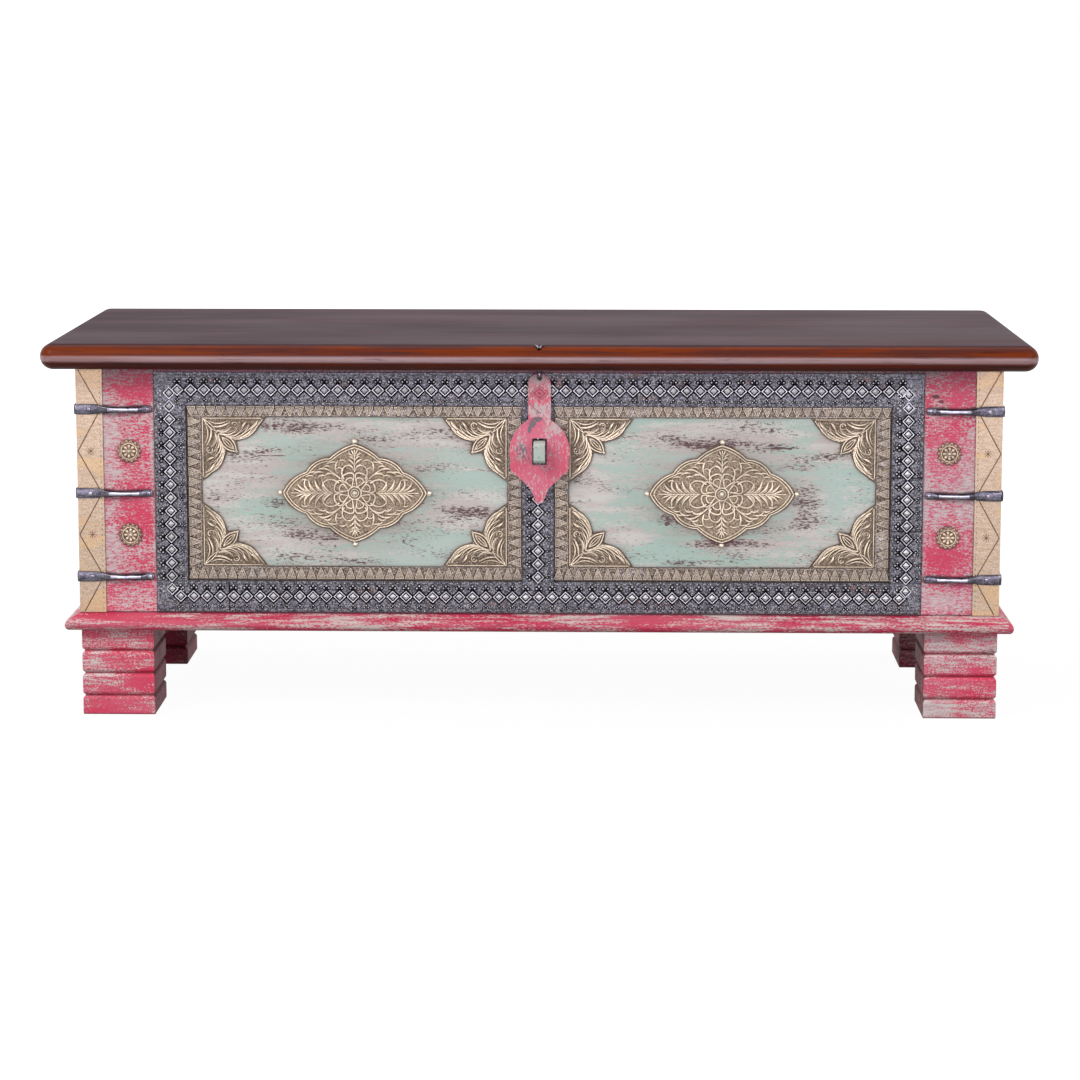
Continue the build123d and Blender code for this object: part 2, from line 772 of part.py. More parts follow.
def body_leaf(x):
    """Leaf on the outside of the back board with the outer and middle knuckles."""
    half = hinge_length / 2
    leaf = block(
        x - half, x + half, back_y, back_y + hinge_sheet, hinge_z - hinge_body_leaf, hinge_z - clear_radius
    )
    for start, barrel in knuckles(x, 0):
        web = block(
            start, start + knuckle_length, back_y, back_y + hinge_sheet, hinge_z - clear_radius, hinge_z
        )
        leaf += web
        leaf += barrel
    return leaf - pin_grip(x) - [screw_bore(*seat) for seat in body_leaf_seats(x)]


def lid_leaf(x):
    """Leaf under the overhang of the lid with the two knuckles between."""
    half = hinge_length / 2
    low = lid_bottom - hinge_sheet
    leaf = block(x - half, x + half, hinge_y + clear_radius, hinge_y + hinge_lid_leaf, low, lid_bottom)
    for start, barrel in knuckles(x, 1):
        leaf += block(start, start + knuckle_length, hinge_y, hinge_y + clear_radius, low, lid_bottom)
        leaf += barrel
    return leaf - pin_bore(x) - [screw_bore(*seat) for seat in lid_leaf_seats(x)]


body_seats = [seat for x in hinge_places for seat in body_leaf_seats(x)]
lid_seats = [seat for x in hinge_places for seat in lid_leaf_seats(x)]
hinge_pin = Rot(0, 90, 0) * Cylinder(hinge_pin_radius, hinge_length)
pins = [Pos(x, hinge_y, hinge_z) * hinge_pin for x in hinge_places]
parts["hinge_body_leaves"] = Compound(children=[body_leaf(x) for x in hinge_places])
parts["hinge_lid_leaves"] = Compound(children=[lid_leaf(x) for x in hinge_places])
parts["hinge_pins"] = Compound(children=pins)
parts["hinge_body_screws"] = Compound(children=[screw(*seat) for seat in body_seats])
parts["hinge_lid_screws"] = Compound(children=[screw(*seat) for seat in lid_seats])
parts["back_board"] = parts["back_board"] - [screw_bore(*seat) for seat in body_seats]

# ---------------------------------------------------------------------------
# Lid: glued planks with a full round edge, cleats and their screws
# ---------------------------------------------------------------------------
cleat_seats = []
for x in (-cleat_spacing / 2, cleat_spacing / 2):
    for step in (-1, 0, 1):
        cleat_seats.append(((x, step * cleat_screw_pitch, lid_bottom - cleat_thickness), (0, 0, -1)))


def cleat(x):
    """A batten under the lid with chamfered ends."""
    bar = block(
        x - cleat_width / 2, x + cleat_width / 2, -cleat_length / 2, cleat_length / 2,
        lid_bottom - cleat_thickness, lid_bottom,
    )
    ends = bar.faces().sort_by(Axis.Z)[0].edges().filter_by(Axis.X)
    return chamfer(ends, cleat_chamfer)


pin_up = (0, -sin(radians(pin_tilt)), cos(radians(pin_tilt)))
pin_axis = Plane(origin=(lock_x, ring_y, ring_z), z_dir=pin_up)


def bullnose_exit():
    """How far along the tilted pin its axis leaves the rounded edge of the lid."""
    dy = ring_y - bullnose_y
    dz = ring_z - bullnose_z
    along = dy * pin_up[1] + dz * pin_up[2]
    across = dy * dy + dz * dz - bullnose * bullnose
    return -along + (along * along - across) ** 0.5


pin_exit = bullnose_exit()


def make_split_pin():
    """Split pin: an eye under the lid, a tilted shank and two legs bent over the edge."""
    flat_ring = RegularPolygon(ring_radius + ring_wire, 16) - RegularPolygon(ring_radius - ring_wire, 16)
    eye = extrude(flat_ring, amount=ring_wire, both=True)
    eye = chamfer(eye.edges().filter_by(Plane.XY), ring_wire * ring_rounding)
    eye = Pos(lock_x, ring_y, ring_z) * Rot(0, 90, 0) * eye
    shank_length = pin_exit + pin_leg_radius - ring_radius
    shank = pin_axis * (Pos(0, 0, ring_radius + shank_length / 2) * rod(pin_shank_radius, shank_length, 8))
    pin = eye + shank
    exit_y = ring_y + pin_up[1] * pin_exit
    exit_z = ring_z + pin_up[2] * pin_exit
    leave = degrees(atan2(bullnose_y - exit_y, exit_z - bullnose_z))
    reach = bullnose + pin_leg_radius + seat_gap / 2

    def on_edge(turn, across):
        """A point above the round edge, turned back from where the shank leaves it."""
        angle = radians(leave - turn)
        return (lock_x + across, bullnose_y - reach * sin(angle), bullnose_z + reach * cos(angle))

    for side in (-1, 1):
        points = [on_edge(0, 0)]
        points += [on_edge(turn, side * out) for turn, out in zip(pin_leg_turns, pin_leg_spread)]
        for start, end in zip(points, points[1:]):
            run = Vector(*end) - Vector(*start)
            length = run.length + pin_leg_radius / 2
            leg = Pos(0, 0, length / 2) * rod(pin_leg_radius, length, 8)
            pin += Plane(origin=start, z_dir=run) * leg
    return pin


def make_lid():
    """The whole lid before it is cut into planks."""
    board = Box(lid_length, lid_depth, lid_thickness)
    board = fillet(board.edges().filter_by(Axis.Z), lid_corner_radius)
    rims = board.edges().filter_by(Axis.Z, reverse=True)
    board = fillet(rims, bullnose)
    board = Pos(0, 0, lid_bottom + lid_thickness / 2) * board
    pin_hole = pin_axis * rod(pin_hole_radius, 4 * lid_thickness, 8)
    board -= pin_hole
    board -= [screw_bore(*seat) for seat in lid_seats]
    board -= [screw_bore(*seat, cleat_screw_length) for seat in cleat_seats]
    return board


lid_board = make_lid()
plank_depth = lid_depth / lid_plank_count
for index, name in enumerate(("front", "middle", "back")):
    y0 = -lid_depth / 2 + index * plank_depth
    plank_space = block(-lid_length, lid_length, y0, y0 + plank_depth, 0, 2 * lid_top)
    parts[f"lid_plank_{name}"] = lid_board & plank_space
for side_name, x in (("left", -cleat_spacing / 2), ("right", cleat_spacing / 2)):
    bar = cleat(x) - [screw_bore(*seat, cleat_screw_length) for seat in cleat_seats]
    parts[f"lid_cleat_{side_name}"] = bar
cleat_screws = [screw(*seat, cleat_screw_length) for seat in cleat_seats]
parts["lid_cleat_screws"] = Compound(children=cleat_screws)
parts["split_pin"] = make_split_pin()


# ---------------------------------------------------------------------------
# Hasp: round-topped neck, disc with a slot, pointed tip
# ---------------------------------------------------------------------------
def make_hasp():
    """The hasp plate, hanging in front of the staple."""
    half_neck = hasp_neck_width / 2
    top_centre = hasp_hole_z + hasp_top_margin - half_neck
    neck = Pos(lock_x, (top_centre + hasp_disc_z) / 2) * Rectangle(hasp_neck_width, top_centre - hasp_disc_z)
    face = neck + Pos(lock_x, top_centre) * Circle(half_neck)
    face += Pos(lock_x, hasp_disc_z) * Circle(hasp_disc_radius)
    half_tip = hasp_tip_width / 2
    leave = radians(hasp_shoulder_turn)
    side = (hasp_disc_radius * cos(leave), -hasp_disc_radius * sin(leave))
    low = hasp_tip_z - hasp_disc_z
    waist = (half_tip + hasp_waist_flare, low + hasp_waist_height)
    hollow = (hasp_hollow_share * side[0], (side[1] + waist[1]) / 2 - hasp_shoulder_rise)
    shoulder = ThreePointArc(side, hollow, waist)
    end = (half_tip - hasp_tip_bevel, low)
    right = [Line((0, side[1]), (side[0], side[1])), shoulder, Line(waist, end), Line(end, (0, low))]
    tip = make_face(right + [mirror(edge, about=Plane.YZ) for edge in right])
    face += Pos(lock_x, hasp_disc_z) * tip
    face -= Pos(lock_x, hasp_disc_z) * Rectangle(slot_width, slot_height)
    face -= Pos(lock_x, hasp_hole_z) * Circle(hasp_hole_radius)
    return face_plate(face, ring_y + hasp_thickness / 2, hasp_thickness)


parts["hasp"] = make_hasp()

# ---------------------------------------------------------------------------
# Write one STEP file for each piece
# ---------------------------------------------------------------------------
os.makedirs("parts", exist_ok=True)
for name, shape in parts.items():
    export_step(shape, os.path.join("parts", name + ".step"))
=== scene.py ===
"""A painted storage chest with embossed sheet, brass and forged fittings.

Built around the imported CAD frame. Sizes inside the classes are in millimetres: X runs along
the chest, the front faces -Y and Z is up from the floor.
"""

from __future__ import annotations

import logging
import math
from dataclasses import dataclass, replace
from enum import Enum

import bmesh
import bpy
from bmesh.types import BMesh
from bpy.types import Material, Mesh, NodeSocket, Object, ShaderNode
from mathutils import Matrix, Vector


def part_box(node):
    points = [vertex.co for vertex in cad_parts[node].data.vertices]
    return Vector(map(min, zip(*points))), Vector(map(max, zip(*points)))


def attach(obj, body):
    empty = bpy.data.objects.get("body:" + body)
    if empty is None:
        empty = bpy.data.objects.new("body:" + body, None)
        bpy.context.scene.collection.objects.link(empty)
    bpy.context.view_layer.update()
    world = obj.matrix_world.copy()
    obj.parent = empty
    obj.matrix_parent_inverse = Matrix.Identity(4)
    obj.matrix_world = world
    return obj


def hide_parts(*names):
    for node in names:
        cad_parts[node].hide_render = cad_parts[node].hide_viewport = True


LOG = logging.getLogger("chest")

MM = 0.001
FRONT = Matrix.Rotation(math.radians(90), 4, "X")
Colour = tuple[int, int, int]
Point = tuple[float, float]
BODY_X, BODY_Y = 552.0, -177.0
PANEL_Y, PANEL_SHEET = -171.0, 1.0
STRAP_LEVELS = (170.85, 272.55, 374.25)
STAR_LEVELS = (221.7, 323.4)
LID_ROUND = 15.3
PIN_EYE, PIN_TILT = (2.0, -184.3, 418.7), 37.0


# ----- Named choices -----


class Body(Enum):
    """The moving bodies of the chest."""

    CARCASE = "carcase"
    LID = "lid"
    HASP = "hasp"


class Side(Enum):
    """Left and right halves, with the sign of X."""

    LEFT = -1
    RIGHT = 1

    @property
    def label(self) -> str:
        """The side's name in lower case."""
        return self.name.lower()


# ----- Finishes -----


def linear(colour: Colour) -> tuple[float, float, float, float]:
    """A screen colour of 0 to 255 as the linear colour that shaders take.

    Args:
        colour: Red, green and blue from 0 to 255.

    Returns:
        Linear red, green, blue and an alpha of one.
    """
    parts = []
    for value in colour:
        share = value / 255
        parts.append(share / 12.92 if share <= 0.04045 else ((share + 0.055) / 1.055) ** 2.4)
    return (parts[0], parts[1], parts[2], 1.0)


class Tree:
    """A node tree, with short ways to add and link its nodes."""

    def __init__(self, owner: object) -> None:
        """Take up the tree of a material or a world.

        Args:
            owner: The material or world.
        """
        owner.use_nodes = True
        self.nodes, self.links = owner.node_tree.nodes, owner.node_tree.links

    def feed(self, node: ShaderNode, inputs: dict) -> None:
        """Link the inputs of a node, or set their constants.

        Args:
            node: The node.
            inputs: Output sockets, numbers or colours, by the name or number of the input.
        """
        for key, value in inputs.items():
            if isinstance(value, NodeSocket):
                self.links.new(value, node.inputs[key])
            else:
                node.inputs[key].default_value = value

    def add(self, kind: str, inputs: dict, **settings: object) -> ShaderNode:
        """Add a node.

        Args:
            kind: Blender's name of the node, after ShaderNode.
            inputs: What goes into it.
            settings: The node's own properties.

        Returns:
            The node.
        """
        node = self.nodes.new(f"ShaderNode{kind}")
        for key, value in settings.items():
            setattr(node, key, value)
        self.feed(node, inputs)
        return node


class Recipe(Tree):
    """The node tree of a material, with the patterns and masks that the finishes share.

    DRIFT shares a noise's shift out over X, Y and Z. SPOT_CORE is where a spot is full, as a share of its size.
    An edge shows from SAME_NORMAL to TURNED_NORMAL, the cosine between the rounded and the real normal.
    """

    DRIFT = (1, 1.7, 0.6)
    SPOT_CORE = 0.2
    SAME_NORMAL, TURNED_NORMAL = 0.999, 0.9

    def __init__(self, name: str) -> None:
        """Start a material with a principled shader.

        Args:
            name: The material's name.
        """
        self.material = bpy.data.materials.new(name)
        super().__init__(self.material)
        self.shader = self.nodes["Principled BSDF"]
        self.place = self.nodes.new("ShaderNodeTexCoord").outputs["Object"]

    def coords(self, scale: tuple, shift: tuple) -> NodeSocket:
        """Object coordinates, times a scale for each metre and then shifted."""
        return self.add("Mapping", {"Vector": self.place, "Scale": scale, "Location": shift}).outputs["Vector"]

    def noise(self, scale: tuple, detail: float, rough: float, shift: float = 0, bend: float = 0) -> NodeSocket:
        """Fractal noise over object coordinates.

        Args:
            scale: Repeats for each metre along X, Y and Z.
            detail: Octaves.
            rough: Strength of the finer octaves.
            shift: Moves the pattern, so that two noises differ.
            bend: Distortion.

        Returns:
            The factor output.
        """
        place = self.coords(scale, tuple(shift * part for part in self.DRIFT))
        inputs = {"Vector": place, "Scale": 1, "Detail": detail, "Roughness": rough, "Distortion": bend}
        return self.add("TexNoise", inputs).outputs["Fac"]

    def step(self, value: NodeSocket, low: float, high: float, start: float = 0, end: float = 1) -> NodeSocket:
        """A smooth step from start to end as value goes from low to high.

        Args:
            value: The number to map.
            low: Where the step starts.
            high: Where the step ends.
            start: The result at low.
            end: The result at high.

        Returns:
            The result output.
        """
        inputs = {"Value": value, "From Min": low, "From Max": high, "To Min": start, "To Max": end}
        return self.add("MapRange", inputs, interpolation_type="SMOOTHSTEP").outputs["Result"]

    def calc(self, operation: str, first: object, second: object) -> NodeSocket:
        """A clamped operation on two numbers.

        Args:
            operation: Blender's name of the operation.
            first: A socket or a number.
            second: A socket or a number.

        Returns:
            The value output.
        """
        return self.add("Math", {0: first, 1: second}, operation=operation, use_clamp=True).outputs[0]

    def times(self, first: object, second: object) -> NodeSocket:
        """The product of two numbers."""
        return self.calc("MULTIPLY", first, second)

    def plus(self, first: object, second: object) -> NodeSocket:
        """The sum of two numbers."""
        return self.calc("ADD", first, second)

    def most(self, first: object, second: object) -> NodeSocket:
        """The larger of two numbers."""
        return self.calc("MAXIMUM", first, second)

    def weighed(self, values: tuple, shares: tuple) -> NodeSocket:
        """The sum of some numbers, each times its share."""
        parts = [self.times(value, share) for value, share in zip(values, shares)]
        total = parts[0]
        for part in parts[1:]:
            total = self.plus(total, part)
        return total

    def mix(self, factor: object, first: object, second: object) -> NodeSocket:
        """A blend of two colours.

        Args:
            factor: 0 gives the first, 1 the second.
            first: A colour of 0 to 255, or a socket.
            second: A colour of 0 to 255, or a socket.

        Returns:
            The colour output.
        """
        first, second = (linear(value) if isinstance(value, tuple) else value for value in (first, second))
        return self.add("Mix", {"Factor": factor, 6: first, 7: second}, data_type="RGBA").outputs[2]

    def length(self, vector: NodeSocket) -> NodeSocket:
        """The length of a vector."""
        return self.add("VectorMath", {0: vector}, operation="LENGTH").outputs["Value"]

    def level(self) -> NodeSocket:
        """Height above the floor in metres."""
        return self.add("SeparateXYZ", {0: self.place}).outputs["Z"]

    def spots(self, places: tuple) -> NodeSocket:
        """1 in the middle of some ellipses on the front, fading to 0 at their rims.

        Args:
            places: Middle X, middle Z, half width and half height of each, in metres.

        Returns:
            The mask output.
        """
        total = None
        for x, z, across, up in places:
            place = self.coords((1 / across, 0, 1 / up), (-x / across, 0, -z / up))
            spot = self.step(self.length(place), 1, self.SPOT_CORE)
            total = spot if total is None else self.most(total, spot)
        return total

    def edges(self, radius: float) -> NodeSocket:
        """1 along the outer and inner edges of the shape, 0 on its faces.

        Args:
            radius: Reach of the mask in metres.

        Returns:
            The mask output.
        """
        rounded = self.add("Bevel", {"Radius": radius}, samples=4).outputs[0]
        real = self.add("NewGeometry", {}).outputs["Normal"]
        dot = self.add("VectorMath", {0: rounded, 1: real}, operation="DOT_PRODUCT")
        return self.step(dot.outputs["Value"], self.SAME_NORMAL, self.TURNED_NORMAL)

    def crevice(self, distance: float) -> NodeSocket:
        """1 in the open and less down between raised forms, for a reach in metres."""
        return self.add("AmbientOcclusion", {"Distance": distance}, samples=8).outputs["AO"]

    def bump(self, height: NodeSocket, depth: float, strength: float, below: NodeSocket | None = None) -> NodeSocket:
        """A normal from a height.

        Args:
            height: Height from 0 to 1.
            depth: Real depth in metres.
            strength: Share of the effect.
            below: A normal that this one lies on.

        Returns:
            The normal output.
        """
        inputs = {"Distance": depth, "Strength": strength, "Height": height}
        if below is not None:
            inputs["Normal"] = below
        return self.add("Bump", inputs).outputs["Normal"]

    def done(self, colour: NodeSocket, rough: NodeSocket, metal: float, normal: NodeSocket, gloss: object) -> Material:
        """Wire the shader and hand over the material.

        Args:
            colour: Base colour.
            rough: Roughness.
            metal: Metallic share.
            normal: Normal output.
            gloss: Specular level.

        Returns:
            The finished material.
        """
        self.feed(self.shader, {"Base Color": colour, "Roughness": rough, "Metallic": metal, "Normal": normal,
                                "Specular IOR Level": gloss})
        return self.material


@dataclass(frozen=True)
class DistressedPaint:
    """Brushed paint over a pale undercoat, rubbed through to the wood in places, with painted shade in its crevices.

    The names in capitals are shares and steps that all paints have in common. A step is given as low, high and,
    where it doesn't run from 0 to 1, its start and end.
    """

    name: str
    coat: Colour
    deep_coat: Colour
    undercoat: Colour
    pale: Colour
    bare: Colour
    patch: tuple
    streak: tuple
    speckle: tuple
    cluster: tuple
    worn: float = 0.52
    softness: float = 0.06
    bared: float = 0.62
    edge: float = 0.0025
    shares: tuple = (0.36, 0.34, 0.30)
    rubbed_spots: tuple = ()
    bare_spots: tuple = ()
    patches: tuple = ()
    push: float = 0.13
    gloss: float = 0.22
    dug: float = 0.09
    follow: float = 0.0
    smear: float = 0.0
    crevice_shade: Colour = (60, 42, 46)
    crevice_shade_reach: float = 0.004
    halo: Colour = (156, 134, 122)
    halo_reach: float = 0.0
    halo_spots: tuple = ()

    BARE_SHARES = (0.35, 0.65)
    SMEAR_FROM, SMEAR_TO, BARE_RIM = -0.06, 0.02, 0.015
    PATCH_PULL, PATCH_RIM = 0.36, (0.72, 0.74)
    EDGE_RUBBED, EDGE_PALE, EDGE_BARE = (0.38, 0.6), 0.7, (0.5, 0.56)
    DIRT, DIRT_BREAKS, CLOUD_BREAKS = (1, 0.84, 0, 0.95), (0.3, 0.6, 0.35, 1), (0.36, 0.62, 0.25, 0.7)
    CREVICE_SHADE_STEP = (0.68, 0.98, 0.8, 0)
    ROUGH = (0.5, 0.68)

    def material(self) -> Material:
        """Build the paint's material."""
        mixer = Recipe(self.name)
        patch = mixer.noise(self.patch, 3, 0.55)
        streak = mixer.noise(self.streak, 4, 0.65, 3.1)
        speckle = mixer.noise(self.speckle, 3, 0.7, 7.7)
        sweep = mixer.weighed((patch, streak, speckle), self.shares)
        if self.rubbed_spots:
            sweep = mixer.plus(sweep, mixer.times(mixer.spots(self.rubbed_spots), self.push))
        rubbed = mixer.step(sweep, self.worn - self.softness, self.worn + self.softness)
        coat = mixer.mix(mixer.step(mixer.noise(self.patch, 2, 0.5, 12), 0.35, 0.65), self.coat, self.deep_coat)
        ground = mixer.mix(mixer.step(streak, 0.4, 0.6), self.undercoat, self.pale)
        colour = mixer.mix(rubbed, coat, ground)
        cluster = mixer.noise(self.cluster, 3, 0.6, 21)
        fleck = mixer.noise(self.speckle, 5, 0.75, 31)
        bare = mixer.weighed((cluster, fleck), self.BARE_SHARES)
        if self.bare_spots:
            bare = mixer.plus(bare, mixer.times(mixer.spots(self.bare_spots), self.dug))
        bare = mixer.plus(bare, mixer.times(rubbed, self.follow))
        if self.smear:
            smear = mixer.step(bare, self.bared + self.SMEAR_FROM, self.bared + self.SMEAR_TO, 0, self.smear)
            colour = mixer.mix(smear, colour, self.bare)
        bare = mixer.step(bare, self.bared, self.bared + self.BARE_RIM)
        if self.patches:
            ragged = mixer.plus(mixer.times(mixer.spots(self.patches), self.PATCH_PULL), speckle)
            bare = mixer.most(bare, mixer.step(ragged, *self.PATCH_RIM))
        breaks = mixer.step(mixer.noise(self.streak, 3, 0.6, 41), *self.EDGE_RUBBED)
        edge = mixer.times(mixer.edges(self.edge), breaks)
        colour = mixer.mix(mixer.times(edge, self.EDGE_PALE), colour, self.pale)
        bare = mixer.most(bare, mixer.times(edge, mixer.step(fleck, *self.EDGE_BARE)))
        # A brownish halo: darker near raised pieces, by ambient occlusion broken up by noise, and in soft clouds at
        # given spots.
        if self.halo_reach:
            halo_near_relief = mixer.times(mixer.step(mixer.crevice(self.halo_reach), *self.DIRT),
                               mixer.step(cluster, *self.DIRT_BREAKS))
            cloud = mixer.times(mixer.spots(self.halo_spots), mixer.step(streak, *self.CLOUD_BREAKS))
            colour = mixer.mix(mixer.most(halo_near_relief, cloud), colour, self.halo)
        colour = mixer.mix(bare, colour, self.bare)
        # Painted shade: the paint turns darker in crevices and where parts meet, by ambient occlusion.
        shade_in_crevices = mixer.step(mixer.crevice(self.crevice_shade_reach), *self.CREVICE_SHADE_STEP)
        colour = mixer.mix(shade_in_crevices, colour, self.crevice_shade)
        height = mixer.calc("SUBTRACT", mixer.calc("SUBTRACT", 1.0, mixer.times(rubbed, 0.5)), mixer.times(bare, 0.5))
        normal = mixer.bump(height, 0.0003, 0.7, mixer.bump(streak, 0.0004, 0.4))
        return mixer.done(colour, mixer.step(rubbed, 0, 1, *self.ROUGH), 0.0, normal, self.gloss)


@dataclass(frozen=True)
class StainedWood:
    """Dark stained hardwood with a redder, glossier rubbed edge, a painted highlight along the middle of that edge and
    painted shade on its lower half.
    """

    name: str
    dark: Colour
    warm: Colour
    edge: Colour
    edge_shaded_low: Colour
    edge_top: float
    edge_middle: float
    edge_depth: float = 0.002
    edge_bottom: float = 0.4258
    painted_highlight: Colour = (214, 180, 186)
    under: Colour = (96, 60, 50)
    streaked: Colour = (44, 26, 32)
    pored: Colour = (22, 12, 12)
    arris: Colour = (40, 14, 10)
    rough: tuple = (0.42, 0.2)
    gloss: tuple = (0.03, 0.4)

    def material(self) -> Material:
        """Build the wood's material."""
        mixer = Recipe(self.name)
        figure = mixer.noise((1.3, 16, 16), 5, 0.6, 2, 0.6)
        streak = mixer.noise((5, 90, 150), 4, 0.65, 11)
        pores = mixer.noise((14, 320, 320), 4, 0.7, 9)
        cloud = mixer.noise((4, 9, 9), 3, 0.5, 17)
        level = mixer.level()
        on_edge = mixer.step(level, self.edge_top, self.edge_top - self.edge_depth)
        below = mixer.step(level, self.edge_middle + 0.004, self.edge_middle - 0.006)
        figured = mixer.step(figure, 0.36, 0.66)
        colour = mixer.mix(figured, self.dark, self.warm)
        colour = mixer.mix(mixer.step(streak, 0.5, 0.68, 0, 0.45), colour, self.streaked)
        # Painted shade: the lower half of the round edge is darker.
        rim = mixer.mix(below, self.edge, self.edge_shaded_low)
        rim = mixer.mix(mixer.step(streak, 0.45, 0.62, 0, 0.6), rim, self.dark)
        # Painted highlight: a pale band along the middle of the round edge, broken by streaks.
        painted_highlight = mixer.times(mixer.step(level, self.edge_middle + 0.0055, self.edge_middle + 0.0015),
                            mixer.step(level, self.edge_middle - 0.005, self.edge_middle - 0.001))
        painted_highlight = mixer.times(painted_highlight, mixer.step(streak, 0.3, 0.6, 0.5, 0.85))
        rim = mixer.mix(painted_highlight, rim, self.painted_highlight)
        rim = mixer.mix(mixer.step(level, self.edge_top - 0.0005, self.edge_top - 0.003, 0.7, 0), rim, self.arris)
        colour = mixer.mix(on_edge, colour, rim)
        below_all = mixer.mix(figured, self.under, self.dark)
        colour = mixer.mix(mixer.step(level, self.edge_bottom + 0.001, self.edge_bottom), colour, below_all)
        colour = mixer.mix(mixer.step(pores, 0.56, 0.68, 0, 0.5), colour, self.pored)
        rough = mixer.plus(mixer.step(on_edge, 0, 1, *self.rough), mixer.step(cloud, 0.3, 0.7, 0, 0.07))
        normal = mixer.bump(cloud, 0.003, 0.15, mixer.bump(pores, 0.0003, 0.25))
        return mixer.done(colour, rough, 0.0, normal, mixer.step(on_edge, 0, 1, *self.gloss))


@dataclass(frozen=True)
class SawnWood:
    """Bare sawn hardwood inside the chest and under it."""

    name: str
    light: Colour
    dark: Colour
    grain: tuple

    def material(self) -> Material:
        """Build the wood's material."""
        mixer = Recipe(self.name)
        figure = mixer.noise(self.grain, 5, 0.62, 4, 0.8)
        fine = mixer.noise(tuple(9 * part for part in self.grain), 4, 0.7, 8)
        colour = mixer.mix(mixer.step(figure, 0.35, 0.65), self.light, self.dark)
        colour = mixer.mix(mixer.step(fine, 0.5, 0.75, 0, 0.5), colour, self.dark)
        normal = mixer.bump(fine, 0.0005, 0.5)
        return mixer.done(colour, mixer.step(fine, 0.3, 0.7, 0.6, 0.8), 0.0, normal, 0.3)


@dataclass(frozen=True)
class AgedMetal:
    """Metal sheet or forging, bright where it is rubbed and dark in its hollows."""

    name: str
    bright: Colour
    middle: Colour
    dark: Colour
    grain: tuple = (260, 260, 260)
    patch: tuple = (30, 30, 30)
    reach: float = 0.003
    hollow: tuple = (0.35, 0.95)
    metal: float = 0.75
    rough: float = 0.42
    relief: float = 0.0003
    stain: Colour | None = None
    stain_share: tuple = (0.55, 0.65)
    gloss: float = 0.35
    dark_fleck: float = 0.0
    light_fleck: float = 0.0
    fleck_grain: tuple = (620, 620, 620)
    pale_fleck: Colour = (226, 218, 206)

    def material(self) -> Material:
        """Build the metal's material."""
        mixer = Recipe(self.name)
        grain = mixer.noise(self.grain, 4, 0.7, 5)
        patch = mixer.noise(self.patch, 4, 0.6, 15)
        colour = mixer.mix(mixer.step(grain, 0.36, 0.66), self.middle, self.bright)
        colour = mixer.mix(mixer.step(patch, 0.45, 0.75, 0, 0.5), colour, self.dark)
        if self.stain is not None:
            colour = mixer.mix(mixer.step(patch, *self.stain_share), colour, self.stain)
        if self.dark_fleck:
            pits = mixer.noise(self.fleck_grain, 2, 0.6, 23)
            colour = mixer.mix(mixer.step(pits, 0.52, 0.62, 0, self.dark_fleck), colour, self.dark)
            colour = mixer.mix(mixer.step(pits, 0.43, 0.34, 0, self.light_fleck), colour, self.pale_fleck)
        open_air = mixer.step(mixer.crevice(self.reach), *self.hollow)
        colour = mixer.mix(open_air, self.dark, colour)
        rough = mixer.plus(mixer.step(grain, 0.3, 0.7, self.rough - 0.08, self.rough + 0.1),
                           mixer.step(open_air, 0, 1, 0.2, 0))
        normal = mixer.bump(grain, self.relief, 0.6)
        return mixer.done(colour, rough, self.metal, normal, self.gloss)


PINK = DistressedPaint(
    "pink paint", (246, 70, 110), (250, 104, 138), (236, 194, 204), (248, 228, 230), (112, 78, 84),
    (5, 16, 16), (110, 300, 430), (330, 600, 700), (7, 24, 30), 0.530, 0.028, 0.652, shares=(0.28, 0.27, 0.45),
    rubbed_spots=((-0.52, 0.28, 0.03, 0.2), (0.52, 0.28, 0.03, 0.2), (-0.46, 0.28, 0.008, 0.2),
                  (0.46, 0.28, 0.008, 0.2), (0.478, 0.37, 0.022, 0.05), (-0.49, 0.14, 0.05, 0.025),
                  (0.49, 0.14, 0.05, 0.025), (0, 0.4215, 0.7, 0.009)),
    bare_spots=((-0.49, 0.132, 0.05, 0.012), (0.5, 0.132, 0.05, 0.012), (0.2, 0.4205, 0.5, 0.008)),
    patches=((0.473, 0.392, 0.009, 0.004), (0.479, 0.386, 0.006, 0.004)), push=0.05, smear=0.35,
)
PINK_BOARD = replace(PINK, name="pink paint of the back", rubbed_spots=(), bare_spots=(), patches=())
PINK_END = replace(
    PINK_BOARD, name="pink paint of the ends", patch=(16, 5, 16), streak=(300, 110, 430), speckle=(600, 330, 700),
    cluster=(24, 7, 30),
)
PINK_BASE = DistressedPaint(
    "pink paint of the base", (220, 56, 94), (230, 98, 124), (222, 186, 190), (240, 220, 216), (118, 78, 80),
    (8, 30, 27), (20, 190, 330), (260, 600, 700), (8, 30, 44), 0.520, 0.035, 0.622, 0.0015, shares=(0.28, 0.36, 0.36),
    smear=0.4, follow=0.02,
)
# The darker pink that the feet take in their grooves is painted shade.
PINK_FOOT = replace(
    PINK_BASE, name="pink paint of the feet", coat=(246, 66, 106), deep_coat=(248, 98, 130), undercoat=(236, 204, 208),
    pale=(252, 238, 236), patch=(12, 20, 22), streak=(40, 170, 300), speckle=(420, 600, 700), worn=0.507,
    softness=0.026, shares=(0.38, 0.2, 0.42), crevice_shade=(150, 34, 60), crevice_shade_reach=0.003, gloss=0.3,
)
# Painted shade: a darker, duller copy of the feet's pink for the faces that look in between the feet.
FOOT_SHADE = replace(
    PINK_FOOT, name="painted shade between the feet", coat=(128, 22, 44), deep_coat=(150, 44, 66),
    undercoat=(140, 96, 102), pale=(168, 132, 134), bare=(64, 36, 40), crevice_shade=(60, 14, 26), gloss=0.12,
)
PINK_BASE_END = replace(
    PINK_BASE, name="pink paint of the base ends", patch=(26, 9, 22), streak=(170, 24, 300), speckle=(600, 260, 700),
    cluster=(30, 8, 44),
)
